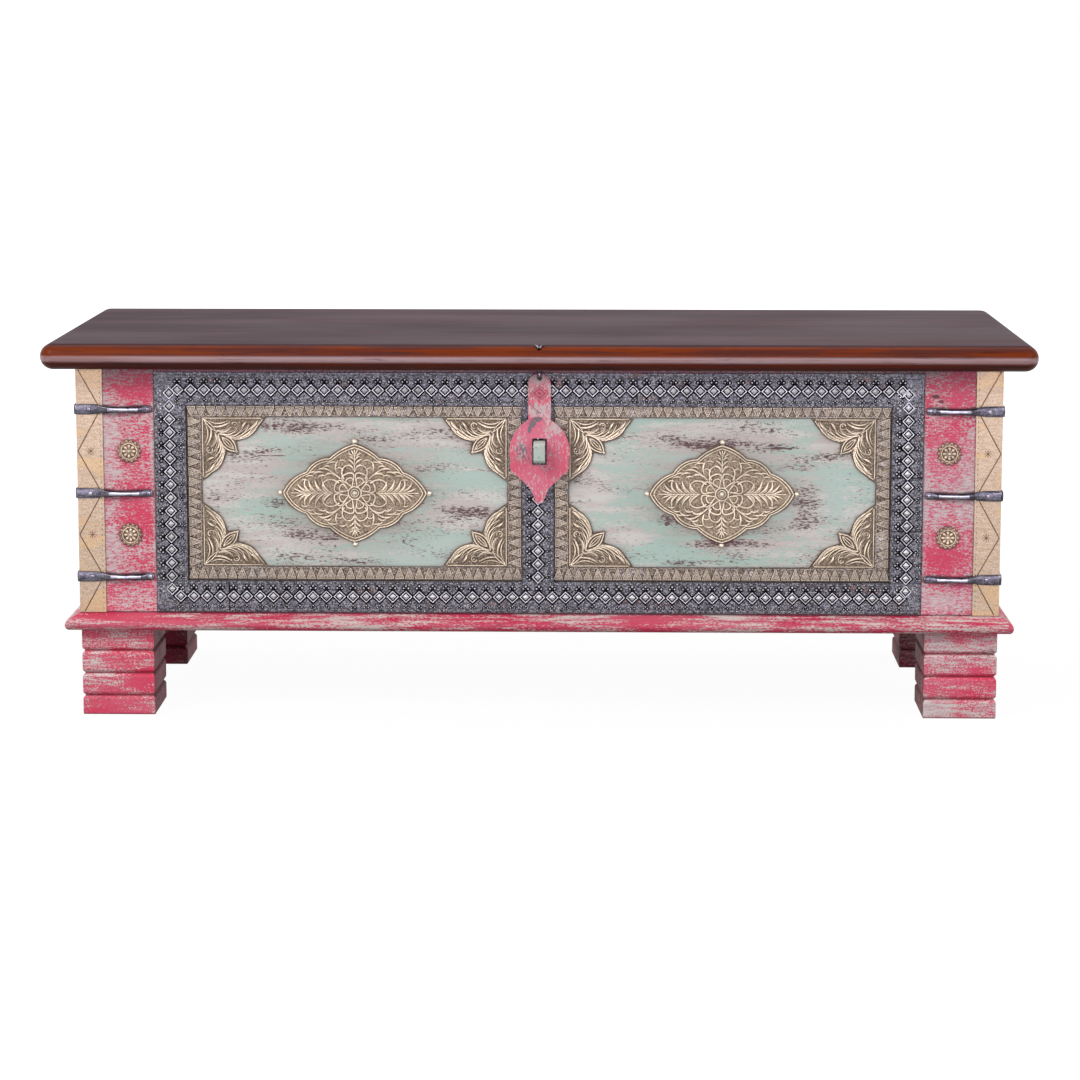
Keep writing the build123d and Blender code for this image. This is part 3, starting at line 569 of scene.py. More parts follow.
MINT_RIGHT = DistressedPaint(
    "mint paint right", (209, 237, 227), (224, 238, 232), (242, 230, 226), (255, 252, 248), (120, 90, 92),
    (3.4, 12, 13), (9, 90, 85), (170, 420, 560), (11, 40, 56), 0.516, 0.048, 0.600, halo_reach=0.022,
    shares=(0.40, 0.27, 0.33), push=0.12, dug=0.065, follow=0.035, smear=0.4,
    rubbed_spots=((0.20, 0.342, 0.14, 0.024), (0.06, 0.28, 0.04, 0.035), (0.32, 0.262, 0.035, 0.05),
                  (0.23, 0.212, 0.09, 0.010), (0.37, 0.34, 0.06, 0.03), (0.10, 0.22, 0.06, 0.02)),
    bare_spots=((0.186, 0.331, 0.05, 0.007), (0.290, 0.328, 0.05, 0.012), (0.16, 0.240, 0.03, 0.016),
                (0.235, 0.213, 0.08, 0.007), (0.322, 0.262, 0.03, 0.045), (0.345, 0.32, 0.05, 0.010),
                (0.18, 0.189, 0.08, 0.005)),
    patches=((0.186, 0.3315, 0.030, 0.0018), (0.292, 0.3285, 0.030, 0.0032), (0.155, 0.237, 0.006, 0.007)),
    halo_spots=((0.22, 0.2725, 0.15, 0.10), (0.03, 0.17, 0.11, 0.08), (0.41, 0.17, 0.11, 0.08),
                (0.41, 0.375, 0.11, 0.08)),
)
MINT_LEFT = replace(
    MINT_RIGHT, name="mint paint left", worn=0.508,
    rubbed_spots=((-0.26, 0.352, 0.12, 0.016), (-0.35, 0.31, 0.06, 0.03), (-0.28, 0.217, 0.10, 0.014),
                  (-0.39, 0.272, 0.05, 0.02), (-0.09, 0.25, 0.05, 0.03), (-0.13, 0.345, 0.07, 0.02)),
    bare_spots=((-0.27, 0.352, 0.10, 0.010), (-0.345, 0.312, 0.05, 0.014), (-0.29, 0.219, 0.07, 0.010),
                (-0.08, 0.252, 0.05, 0.008), (-0.13, 0.345, 0.06, 0.012), (-0.2, 0.19, 0.08, 0.006),
                (-0.31, 0.262, 0.03, 0.014)),
    patches=((-0.318, 0.3175, 0.026, 0.0011), (-0.25, 0.216, 0.020, 0.0022)),
    halo_spots=((-0.22, 0.2725, 0.15, 0.10), (-0.03, 0.17, 0.11, 0.08), (-0.41, 0.17, 0.11, 0.08),
                (-0.03, 0.375, 0.11, 0.08)),
)
# Painted light and shade: a paler, softer copy of the pink for the rails, whose visible strip under the lid lies in its
# shade.
PINK_SHADED = replace(
    PINK, name="pink paint under the lid", coat=(214, 104, 132), deep_coat=(220, 130, 150), undercoat=(214, 200, 204),
    pale=(234, 224, 226), bare=(90, 60, 66), patches=(), rubbed_spots=(), bare_spots=(), bared=0.6,
)
LID_WOOD = StainedWood("lid wood", (58, 37, 46), (78, 52, 60), (132, 52, 10), (104, 38, 16), 0.4556, 0.4385,
                       rough=(0.42, 0.3), gloss=(0.03, 0.10))
RAW_WOOD = SawnWood("sawn wood", (178, 142, 104), (134, 96, 64), (2.2, 24, 24))
RAW_WOOD_DEEP = replace(RAW_WOOD, name="sawn wood deep", grain=(24, 2.2, 24))
RAW_WOOD_UPRIGHT = replace(RAW_WOOD, name="sawn wood upright", grain=(24, 24, 2.2))
SHEET_FIELD = AgedMetal("sheet field", (138, 139, 149), (48, 49, 56), (16, 15, 20), (260, 420, 420), (22, 60, 60),
                        metal=0.3, rough=0.5, gloss=0.2, stain=(112, 92, 90), stain_share=(0.6, 0.72),
                        dark_fleck=0.8, light_fleck=0.5)
SHEET_BRIGHT = AgedMetal("sheet rubbed bright", (236, 236, 240), (196, 196, 204), (60, 60, 66), (500, 500, 500),
                         metal=0.3, rough=0.4, reach=0.001, hollow=(0.0, 0.4))
SHEET_GREY = AgedMetal("sheet raised", (240, 240, 244), (196, 196, 202), (60, 60, 66), (300, 300, 300),
                       metal=0.2, rough=0.35, reach=0.001, hollow=(0.0, 0.4))
SHEET_BLACK = AgedMetal("sheet blackened", (22, 21, 25), (12, 11, 14), (5, 5, 6), metal=0.0, rough=0.7, gloss=0.04)
BRASS_FIELD = AgedMetal("brass field", (184, 166, 140), (136, 118, 96), (30, 22, 16), (460, 460, 460), (40, 40, 40),
                        metal=0.2, rough=0.55, relief=0.0004, reach=0.003, hollow=(0.66, 0.98), gloss=0.2,
                        dark_fleck=0.5, light_fleck=0.4)
ROSETTE_FIELD = AgedMetal("rosette field", (204, 176, 150), (160, 130, 108), (54, 38, 32), (460, 460, 460),
                          metal=0.3, rough=0.5, gloss=0.2, reach=0.002, hollow=(0.5, 0.97), dark_fleck=0.4)
ROSETTE_DEEP = AgedMetal("rosette recess", (146, 116, 98), (104, 80, 66), (44, 32, 28), metal=0.2, rough=0.6, gloss=0.1)
ROSETTE_HIGH = AgedMetal("rosette rubbed bright", (248, 230, 206), (218, 194, 168), (80, 60, 48), (420, 420, 420),
                         metal=0.3, rough=0.42, reach=0.0015, hollow=(0.2, 0.9))
SPANDREL_FIELD = replace(BRASS_FIELD, name="spandrel field", bright=(150, 132, 110), middle=(102, 86, 70))
BRASS_HIGH = AgedMetal("brass rubbed bright", (246, 232, 206), (204, 186, 158), (80, 64, 48), (420, 420, 420),
                       metal=0.35, rough=0.4, reach=0.0015, hollow=(0.2, 0.9))
BRASS_BORDER = AgedMetal("brass border", (166, 150, 134), (106, 91, 80), (40, 32, 28), (420, 420, 420), (26, 26, 26),
                         metal=0.2, rough=0.55, stain=(206, 196, 192), stain_share=(0.55, 0.66), reach=0.002,
                         hollow=(0.55, 0.98), gloss=0.2, dark_fleck=0.85, light_fleck=0.8)
BORDER_LEAF = AgedMetal("brass border leaf", (222, 209, 194), (174, 160, 146), (52, 42, 36), (420, 420, 420),
                        (30, 30, 30), metal=0.2, rough=0.5, stain=(216, 208, 204), stain_share=(0.54, 0.66),
                        reach=0.002, hollow=(0.6, 0.98), gloss=0.2, dark_fleck=0.85, light_fleck=0.9)
CORNER_BRASS = AgedMetal("corner brass", (206, 185, 159), (182, 158, 131), (104, 80, 62), (120, 120, 420),
                         (14, 14, 30), metal=0.25, rough=0.42, hollow=(0.1, 0.85), stain=(202, 172, 132),
                         stain_share=(0.52, 0.6), reach=0.008, dark_fleck=0.35, light_fleck=0.2)
CORNER_LINE = AgedMetal("corner lines", (118, 88, 66), (92, 68, 50), (70, 50, 38), metal=0.3, rough=0.55)
IRON = AgedMetal("forged iron", (150, 146, 156), (84, 80, 90), (30, 28, 32), (90, 200, 200), (30, 60, 60),
                 metal=0.85, rough=0.3, reach=0.004)
STUD_BRASS = AgedMetal("stud brass", (228, 218, 198), (190, 178, 156), (60, 48, 40), metal=0.6, rough=0.32)
STRAP_IRON = AgedMetal("strap bar iron", (104, 100, 110), (48, 45, 52), (14, 12, 16), (60, 160, 160), (26, 50, 50),
                       metal=0.85, rough=0.24, reach=0.005, hollow=(0.2, 0.8))
STRAP_BRIGHT = AgedMetal("strap end iron", (108, 106, 118), (66, 64, 76), (22, 20, 26), (60, 260, 260),
                         (26, 50, 50), metal=0.6, rough=0.38, reach=0.004, hollow=(0.2, 0.8), dark_fleck=0.4,
                         light_fleck=0.2)
# Painted highlight along the top of the straps' bars.
STRAP_HIGHLIGHT = AgedMetal("strap painted highlight", (184, 184, 196), (134, 134, 146), (60, 58, 66), (60, 160, 160),
                        (26, 50, 50), metal=0.7, rough=0.28, reach=0.004, hollow=(0.1, 0.6))
HASP_PAINT = DistressedPaint(
    "hasp paint", (252, 90, 124), (250, 120, 150), (242, 198, 206), (248, 220, 222), (122, 118, 124),
    (16, 30, 18), (240, 200, 90), (500, 500, 300), (24, 30, 20), 0.538, 0.04, 0.62, 0.0012, gloss=0.3,
    shares=(0.25, 0.35, 0.4), push=0.09,
    rubbed_spots=((0.002, 0.375, 0.018, 0.012), (0.002, 0.414, 0.016, 0.008), (0.018, 0.352, 0.014, 0.012),
                  (-0.02, 0.33, 0.010, 0.03)),
    bare_spots=((0.002, 0.374, 0.014, 0.010), (-0.020, 0.325, 0.012, 0.022), (0.0, 0.30, 0.012, 0.01)),
    patches=((-0.0065, 0.3590, 0.008, 0.009), (-0.001, 0.3645, 0.012, 0.005), (-0.0095, 0.3525, 0.004, 0.008)),
)
# Painted shade: a dark flat colour for the rail faces inside the window reveals.
REVEAL_SHADE = AgedMetal("window reveal", (84, 70, 68), (60, 48, 48), (30, 24, 24), metal=0.0, rough=0.8)
HASP_LINE = AgedMetal("hasp stamped lines", (240, 176, 188), (232, 150, 166), (190, 90, 110), metal=0.0, rough=0.5)
HASP_DEEP = AgedMetal("hasp deep pink", (214, 60, 92), (198, 44, 78), (130, 30, 56), metal=0.0, rough=0.5)
HASP_SCRATCH = AgedMetal("hasp scratches", (120, 112, 122), (84, 76, 88), (50, 44, 52), metal=0.4, rough=0.5)
STAPLE_PAINT = DistressedPaint(
    "staple paint", (204, 226, 214), (214, 230, 220), (230, 232, 226), (222, 222, 216), (60, 56, 58),
    (40, 60, 40), (120, 160, 120), (300, 300, 300), (90, 90, 90), 0.55, 0.06, 0.595, 0.0012,
)


class Palette:
    """Builds each finish once and hands its material to every piece that asks."""

    def __init__(self) -> None:
        """Start with no materials."""
        self.ready: dict[str, Material] = {}

    def of(self, finish: object) -> Material:
        """The material of a finish.

        Args:
            finish: One of the finishes above.

        Returns:
            Its material, built the first time.
        """
        if finish.name not in self.ready:
            self.ready[finish.name] = finish.material()
        return self.ready[finish.name]


PALETTE = Palette()
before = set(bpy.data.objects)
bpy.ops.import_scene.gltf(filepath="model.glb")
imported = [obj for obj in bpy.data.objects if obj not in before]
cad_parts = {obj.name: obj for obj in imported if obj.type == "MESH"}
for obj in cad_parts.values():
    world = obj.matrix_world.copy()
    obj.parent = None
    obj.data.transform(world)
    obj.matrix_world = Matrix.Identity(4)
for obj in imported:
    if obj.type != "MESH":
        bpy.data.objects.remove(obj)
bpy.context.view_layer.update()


# ----- Shaping, in millimetres -----


def slab(bm: BMesh, low: tuple, high: tuple, material: int = 0) -> list:
    """Add a square-edged block.

    Args:
        bm: The mesh to add to.
        low: Lowest corner.
        high: Highest corner.
        material: Slot of its faces.

    Returns:
        Its vertices.
    """
    middle = (Vector(low) + Vector(high)) / 2
    size = Vector(high) - Vector(low)
    place = Matrix.Translation(middle) @ Matrix.Diagonal((*size, 1))
    verts = bmesh.ops.create_cube(bm, size=1, matrix=place)["verts"]
    painted(verts, material)
    return verts


def bar(bm: BMesh, upright: bool, across: Point, run: Point, depth: Point, material: int) -> None:
    """Add a straight bar on a front face.

    Args:
        bm: The mesh to add to.
        upright: Whether it runs up rather than along.
        across: Where its width starts and ends.
        run: Where its length starts and ends.
        depth: Its front and back.
        material: Slot of its faces.
    """
    ends = [(wide, long) if upright else (long, wide) for wide, long in zip(across, run)]
    slab(bm, *((x, y, z) for (x, z), y in zip(ends, depth)), material)


def painted(verts: list, material: int) -> None:
    """Give every face at some vertices one material slot."""
    for face in {face for vert in verts for face in vert.link_faces}:
        face.material_index = material


def inset(bm: BMesh, face: object, thickness: float, depth: float, material: int) -> None:
    """Inset one face evenly, and give the faces round it a slot."""
    made = bmesh.ops.inset_individual(bm, faces=[face], thickness=thickness, depth=depth, use_even_offset=True)
    for side in made["faces"]:
        side.material_index = material


def ridge(bm: BMesh, face: object, width: float, height: float, material: int) -> None:
    """Raise a flat-topped ridge just inside a face's rim, and leave the face at its first level.

    Args:
        bm: The mesh.
        face: The face.
        width: Width of the ridge's top.
        height: Height of the ridge.
        material: Slot of the ridge.
    """
    for thickness, depth in ((0.15, height), (width, 0), (0.15, -height)):
        inset(bm, face, thickness, depth, material)


def dome(bm: BMesh, x: float, y: float, radius: float, height: float, material: int, sides: int = 5) -> None:
    """Add a small blunt dome without a base."""
    verts = bmesh.ops.create_cone(bm, cap_ends=False, segments=sides, radius1=radius, radius2=radius * 0.45,
                                  depth=height, matrix=Matrix.Translation((x, y, height / 2)))["verts"]
    bmesh.ops.contextual_create(bm, geom=[vert for vert in verts if vert.co.z > height / 2])
    painted(verts, material)


def disc(bm: BMesh, x: float, y: float, radius: float, height: float, material: int, sides: int = 7) -> None:
    """Add a flat disc just above the ground."""
    place = Matrix.Translation((x, y, height))
    painted(bmesh.ops.create_circle(bm, cap_ends=True, segments=sides, radius=radius, matrix=place)["verts"], material)


def soften(bm: BMesh, edges: list, offset: float, segments: int = 2) -> None:
    """Round some edges.

    Args:
        bm: The mesh.
        edges: The edges to round.
        offset: Width of the rounding.
        segments: Facets across it.
    """
    bmesh.ops.bevel(bm, geom=edges, offset=offset, offset_type="OFFSET", affect="EDGES", segments=segments,
                    profile=0.5, material=-1, clamp_overlap=True)


def sharp(bm: BMesh, angle: float, shortest: float = 0, hollows: bool = False) -> list:
    """The edges where two faces meet at more than an angle.

    Args:
        bm: The mesh.
        angle: Least angle in degrees.
        shortest: Least length.
        hollows: Also take the edges at the bottom of hollows.

    Returns:
        The edges.
    """
    least = math.radians(angle)
    return [
        edge for edge in bm.edges
        if len(edge.link_faces) == 2 and edge.calc_face_angle(0) > least and edge.calc_length() > shortest
        and (hollows or edge.is_convex)
    ]


def stamp(bm: BMesh, unit: Mesh, place: Matrix) -> None:
    """Add a copy of a small mesh.

    Args:
        bm: The mesh to add to.
        unit: The mesh to copy.
        place: Where the copy goes.
    """
    placed = unit.copy()
    placed.transform(place)
    bm.from_mesh(placed)
    bpy.data.meshes.remove(placed)


def unit_of(bm: BMesh, name: str = "unit") -> Mesh:
    """Turn a bmesh into a mesh, and free it."""
    mesh = bpy.data.meshes.new(name)
    bm.to_mesh(mesh)
    bm.free()
    return mesh


def in_scene(name: str, data: object) -> Object:
    """A new object in the scene, for a mesh, lamp or camera."""
    made = bpy.data.objects.new(name, data)
    bpy.context.scene.collection.objects.link(made)
    return made


def sheet_plate(bm: BMesh, outline: list[Point], low: float, high: float, material: int = 0) -> object:
    """Add a flat plate drawn by its outline.

    Args:
        bm: The mesh to add to.
        outline: Corners in order.
        low: Height of its back.
        high: Height of its face.
        material: Slot of its faces.

    Returns:
        The face on top.
    """
    verts = [bm.verts.new((x, y, low)) for x, y in outline]
    back = bm.faces.new(verts)
    back.material_index = material
    made = bmesh.ops.extrude_face_region(bm, geom=[back])["geom"]
    top = next(item for item in made if isinstance(item, bmesh.types.BMFace))
    bmesh.ops.translate(bm, vec=(0, 0, high - low), verts=top.verts[:])
    painted(top.verts, material)
    around = {face for vert in top.verts for face in vert.link_faces}
    bmesh.ops.recalc_face_normals(bm, faces=list(around | {back}))
    return top


def rimmed_plate(outline: list[Point], sheet: float, rim: float = 0.5) -> Mesh:
    """A flat plate with a narrow rim, lying in the XY plane.

    Args:
        outline: Corners in order.
        sheet: Its thickness.
        rim: Width of the rim.

    Returns:
        The mesh.
    """
    bm = bmesh.new()
    top = sheet_plate(bm, outline, 0, sheet)
    bmesh.ops.inset_individual(bm, faces=[top], thickness=rim, depth=0)
    return unit_of(bm)


def arc_through(start: Point, middle: Point, end: Point, pieces: int) -> list[Point]:
    """Points on the arc through three points, without the last one.

    Args:
        start: First point.
        middle: A point on the way.
        end: Last point.
        pieces: Number of straight pieces.

    Returns:
        The points.
    """
    (ax, ay), (bx, by), (cx, cy) = start, middle, end
    double = 2 * (ax * (by - cy) + bx * (cy - ay) + cx * (ay - by))
    a2, b2, c2 = ax * ax + ay * ay, bx * bx + by * by, cx * cx + cy * cy
    ux = (a2 * (by - cy) + b2 * (cy - ay) + c2 * (ay - by)) / double
    uy = (a2 * (cx - bx) + b2 * (ax - cx) + c2 * (bx - ax)) / double
    radius = math.hypot(ax - ux, ay - uy)
    first = math.atan2(ay - uy, ax - ux)
    full = 2 * math.pi
    turn = (math.atan2(cy - uy, cx - ux) - first) % full
    via = (math.atan2(by - uy, bx - ux) - first) % full
    if via > turn:
        turn -= full
    angles = [first + turn * index / pieces for index in range(pieces)]
    return [(ux + radius * math.cos(angle), uy + radius * math.sin(angle)) for angle in angles]


class Taper(Enum):
    """How the width of a chased stroke changes along it."""

    LEAF = "leaf"
    VINE = "vine"
    LINE = "line"

    def at(self, share: float) -> float:
        """The width at a share of the length, as a share of the widest."""
        if self is Taper.LEAF:
            return max(0.12, math.sin(math.pi * min(1, share * 0.94 + 0.06)) ** 0.8)
        if self is Taper.VINE:
            return 1 - 0.6 * share
        return 1.0


@dataclass(frozen=True)
class Stroke:
    """One chased line, leaf or scroll, drawn from its start by heading and turn."""

    x: float
    y: float
    heading: float
    length: float
    turn: float = 0.0
    width: float = 1.0
    taper: Taper = Taper.LEAF
    curl: float = 1.0
    pieces: int = 10

    def points(self) -> list[tuple[float, float, float]]:
        """Points along the stroke, each with its half width."""
        x, y = self.x, self.y
        result = [(x, y, self.width * self.taper.at(0))]
        step = self.length / self.pieces
        for index in range(self.pieces):
            share = (index + 0.5) / self.pieces
            angle = math.radians(self.heading + self.turn * share ** self.curl)
            x += step * math.cos(angle)
            y += step * math.sin(angle)
            result.append((x, y, self.width * self.taper.at((index + 1) / self.pieces)))
        return result


@dataclass(frozen=True)
class Bow:
    """One chased line or leaf between two points, bowed to its left."""

    x: float
    y: float
    to_x: float
    to_y: float
    sag: float
    width: float = 1.1
    taper: Taper = Taper.LEAF
    pieces: int = 7

    def points(self) -> list[tuple[float, float, float]]:
        """Points along the bow, each with its half width."""
        run_x, run_y = self.to_x - self.x, self.to_y - self.y
        mid_x = self.x + run_x / 2 - 2 * self.sag * run_y
        mid_y = self.y + run_y / 2 + 2 * self.sag * run_x
        result = []
        for index in range(self.pieces + 1):
            share = index / self.pieces
            first, middle, last = (1 - share) ** 2, 2 * share * (1 - share), share ** 2
            result.append((first * self.x + middle * mid_x + last * self.to_x,
                           first * self.y + middle * mid_y + last * self.to_y, self.width * self.taper.at(share)))
        return result


def bead(x: float, y: float, radius: float) -> list[tuple[float, float, float]]:
    """A small round bead, as a stroke."""
    return Bow(x - radius, y, x + radius, y, 0, radius, Taper.LEAF, 4).points()


def petal(degrees: float, start: float, reach: float, half: float, line: float, steps: int = 14) -> list:
    """The outline of a petal, as a stroke that is heaviest at the petal's end.

    Args:
        degrees: Direction of the petal.
        start: Distance of its foot from the middle of the flower.
        reach: Distance of its end.
        half: Half width.
        line: Half width of the stroke at the foot.
        steps: Straight pieces.

    Returns:
        The points with their half width.
    """
    angle = math.radians(degrees)
    loop = []
    for step in range(steps + 1):
        share = step / steps
        bulge = math.sin(math.pi * share)
        out = start + (reach - start) * bulge ** 0.8
        across = half * math.sin(2 * math.pi * share)
        loop.append((out * math.cos(angle) - across * math.sin(angle), out * math.sin(angle) + across * math.cos(angle),
                     line * (1 + 0.7 * bulge)))
    return loop


def circle(radius: float, count: int) -> list[Point]:
    """Points evenly round the origin."""
    turns = [math.radians(360 / count * index) for index in range(count)]
    return [(radius * math.cos(turn), radius * math.sin(turn)) for turn in turns]


def along(points: list[Point], width: float, closed: bool = False) -> list[tuple[float, float, float]]:
    """A stroke of even width through given points.

    Args:
        points: The points.
        width: Half width.
        closed: Whether it ends where it starts.

    Returns:
        The points with their half width.
    """
    run = points + points[:1] if closed else points
    return [(x, y, width) for x, y in run]


def mirrored(strokes: list, x_axis: bool = True, y_axis: bool = True, diagonal: bool = False) -> list:
    """Strokes with their mirror images.

    Args:
        strokes: Lists of points with half widths.
        x_axis: Also flip left and right.
        y_axis: Also flip up and down.
        diagonal: Also swap x and y.

    Returns:
        All the strokes.
    """
    result = list(strokes)
    if diagonal:
        result += [[(y, x, width) for x, y, width in run] for run in result]
    if x_axis:
        result += [[(-x, y, width) for x, y, width in run] for run in result]
    if y_axis:
        result += [[(x, -y, width) for x, y, width in run] for run in result]
    return result


def tubes(runs: list, weight: float, sides: int, closed: int = 0) -> Mesh:
    """A mesh of round tubes along runs of points.

    Args:
        runs: Lists of X, Y, Z and radius.
        weight: Multiplies every radius.
        sides: Roundness of the tubes.
        closed: How many of the first runs end where they start.

    Returns:
        The mesh.
    """
    curve = bpy.data.curves.new("tubes", "CURVE")
    curve.dimensions = "3D"
    curve.bevel_depth = weight
    curve.bevel_resolution = sides
    curve.use_fill_caps = True
    for index, run in enumerate(runs):
        spline = curve.splines.new("POLY")
        spline.points.add(len(run) - 1)
        spline.use_cyclic_u = index < closed
        for point, (x, y, z, radius) in zip(spline.points, run):
            point.co = (x, y, z, 1)
            point.radius = radius
    holder = bpy.data.objects.new("tubes", curve)
    mesh = bpy.data.meshes.new_from_object(holder)
    bpy.data.objects.remove(holder)
    bpy.data.curves.remove(curve)
    return mesh


def chased(strokes: list, flatten: float = 0.7, sides: int = 1, weight: float = 1.0) -> Mesh:
    """A mesh of rounded ridges along strokes.

    Args:
        strokes: Lists of points with half widths.
        flatten: Height of a ridge for its half width.
        sides: Roundness of the ridges.
        weight: Multiplies every half width.

    Returns:
        The mesh, lying in the XY plane.
    """
    mesh = tubes([[(x, y, 0, width) for x, y, width in run] for run in strokes], weight, sides)
    mesh.transform(Matrix.Diagonal((1, 1, flatten, 1)))
    return mesh


def tinted(mesh: Mesh, index: int) -> Mesh:
    """Give every face of a mesh one material slot."""
    for polygon in mesh.polygons:
        polygon.material_index = index
    return mesh


def front_at(x: float, y: float, z: float, turn: float = 0, flip_x: bool = False, flip_z: bool = False) -> Matrix:
    """The place of a flat ornament on a front face.

    Args:
        x: Its middle along the chest.
        y: The plane it sits on.
        z: Its middle up from the floor.
        turn: Turn in its own plane, in degrees.
        flip_x: Mirror left and right.
        flip_z: Mirror up and down.

    Returns:
        The matrix that places it.
    """
    flips = Matrix.Diagonal((-1 if flip_x else 1, -1 if flip_z else 1, 1, 1))
    return Matrix.Translation((x, y, z)) @ FRONT @ flips @ Matrix.Rotation(math.radians(turn), 4, "Z")


def settle(bm: BMesh, name: str, body: Body, finishes: list, replaces: tuple = (), smooth: float = 32,
           outward: bool = False, even: bool = False) -> Object:
    """Turn a finished bmesh into a piece of the chest.

    Args:
        bm: The mesh, in millimetres, which is freed.
        name: Name of the piece.
        body: The body that it moves with.
        finishes: Its finishes, in the order of its slots.
        replaces: CAD nodes that it stands for.
        smooth: Edges sharper than this many degrees stay crisp.
        outward: Whether to recalculate the normals, as after mirrored stamps.
        even: Whether broad faces keep their own shading beside rounded edges.

    Returns:
        The object.
    """
    if outward:
        bmesh.ops.recalc_face_normals(bm, faces=bm.faces[:])
    bmesh.ops.scale(bm, vec=(MM, MM, MM), verts=bm.verts[:])
    mesh = unit_of(bm, name)
    mesh.shade_smooth()
    mesh.set_sharp_from_angle(angle=math.radians(smooth))
    for finish in finishes:
        mesh.materials.append(PALETTE.of(finish))
    piece = in_scene(name, mesh)
    if even:
        piece.modifiers.new("even shading", "WEIGHTED_NORMAL").keep_sharp = True
    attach(piece, body.value)
    if replaces:
        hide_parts(*replaces)
    LOG.info("%s: %d faces on %s", name, len(mesh.polygons), body.value)
    return piece


def cad_copy(node: str) -> BMesh:
    """A merged copy of a CAD node's mesh, in millimetres, with its flat faces whole."""
    bm = bmesh.new()
    bm.from_mesh(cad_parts[node].data)
    bmesh.ops.scale(bm, vec=(1 / MM, 1 / MM, 1 / MM), verts=bm.verts[:])
    bmesh.ops.remove_doubles(bm, verts=bm.verts[:], dist=0.01)
    bmesh.ops.dissolve_limit(bm, angle_limit=math.radians(1.5), verts=bm.verts[:], edges=bm.edges[:])
    return bm


def corners(node: str) -> tuple[Vector, Vector]:
    """The lowest and highest corners of a CAD node, in millimetres."""
    low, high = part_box(node)
    return low / MM, high / MM


# ----- Boards -----


@dataclass
class WornBoards:
    """Boards that keep their CAD shape, with their long edges rubbed round."""

    nodes: tuple[str, ...]
    finish: object
    slot: str
    body: Body = Body.CARCASE
    rounding: float = 0.9
    shortest: float = 12.0
    reveal: object | None = None
    inside: object | None = None
    window_x: float = 430.0
    window_z: tuple = (160.0, 385.0)
    inward: float = -60.0

    def into_window(self, face: object) -> bool:
        """Whether a face looks into one of the two windows."""
        middle, (low, high) = face.calc_center_median(), self.window_z
        return abs(face.normal.y) < 0.8 and abs(middle.x) < self.window_x and low < middle.z < high

    def into_chest(self, face: object) -> bool:
        """Whether an upright face looks in towards the middle of the chest."""
        middle, normal = face.calc_center_median(), face.normal
        return abs(normal.z) < 0.8 and normal.x * middle.x + normal.y * middle.y < self.inward

    def build(self) -> None:
        """Rework a copy of each board and let it stand for the node."""
        for node in self.nodes:
            bm = cad_copy(node)
            soften(bm, sharp(bm, 25, self.shortest), self.rounding)
            finishes = [self.finish]
            for second, faces_it in ((self.reveal, self.into_window), (self.inside, self.into_chest)):
                if second is not None:
                    finishes.append(second)
                    for face in filter(faces_it, bm.faces):
                        face.material_index = 1
            settle(bm, f"worn_{node}", self.body, finishes, (node,), even=True)


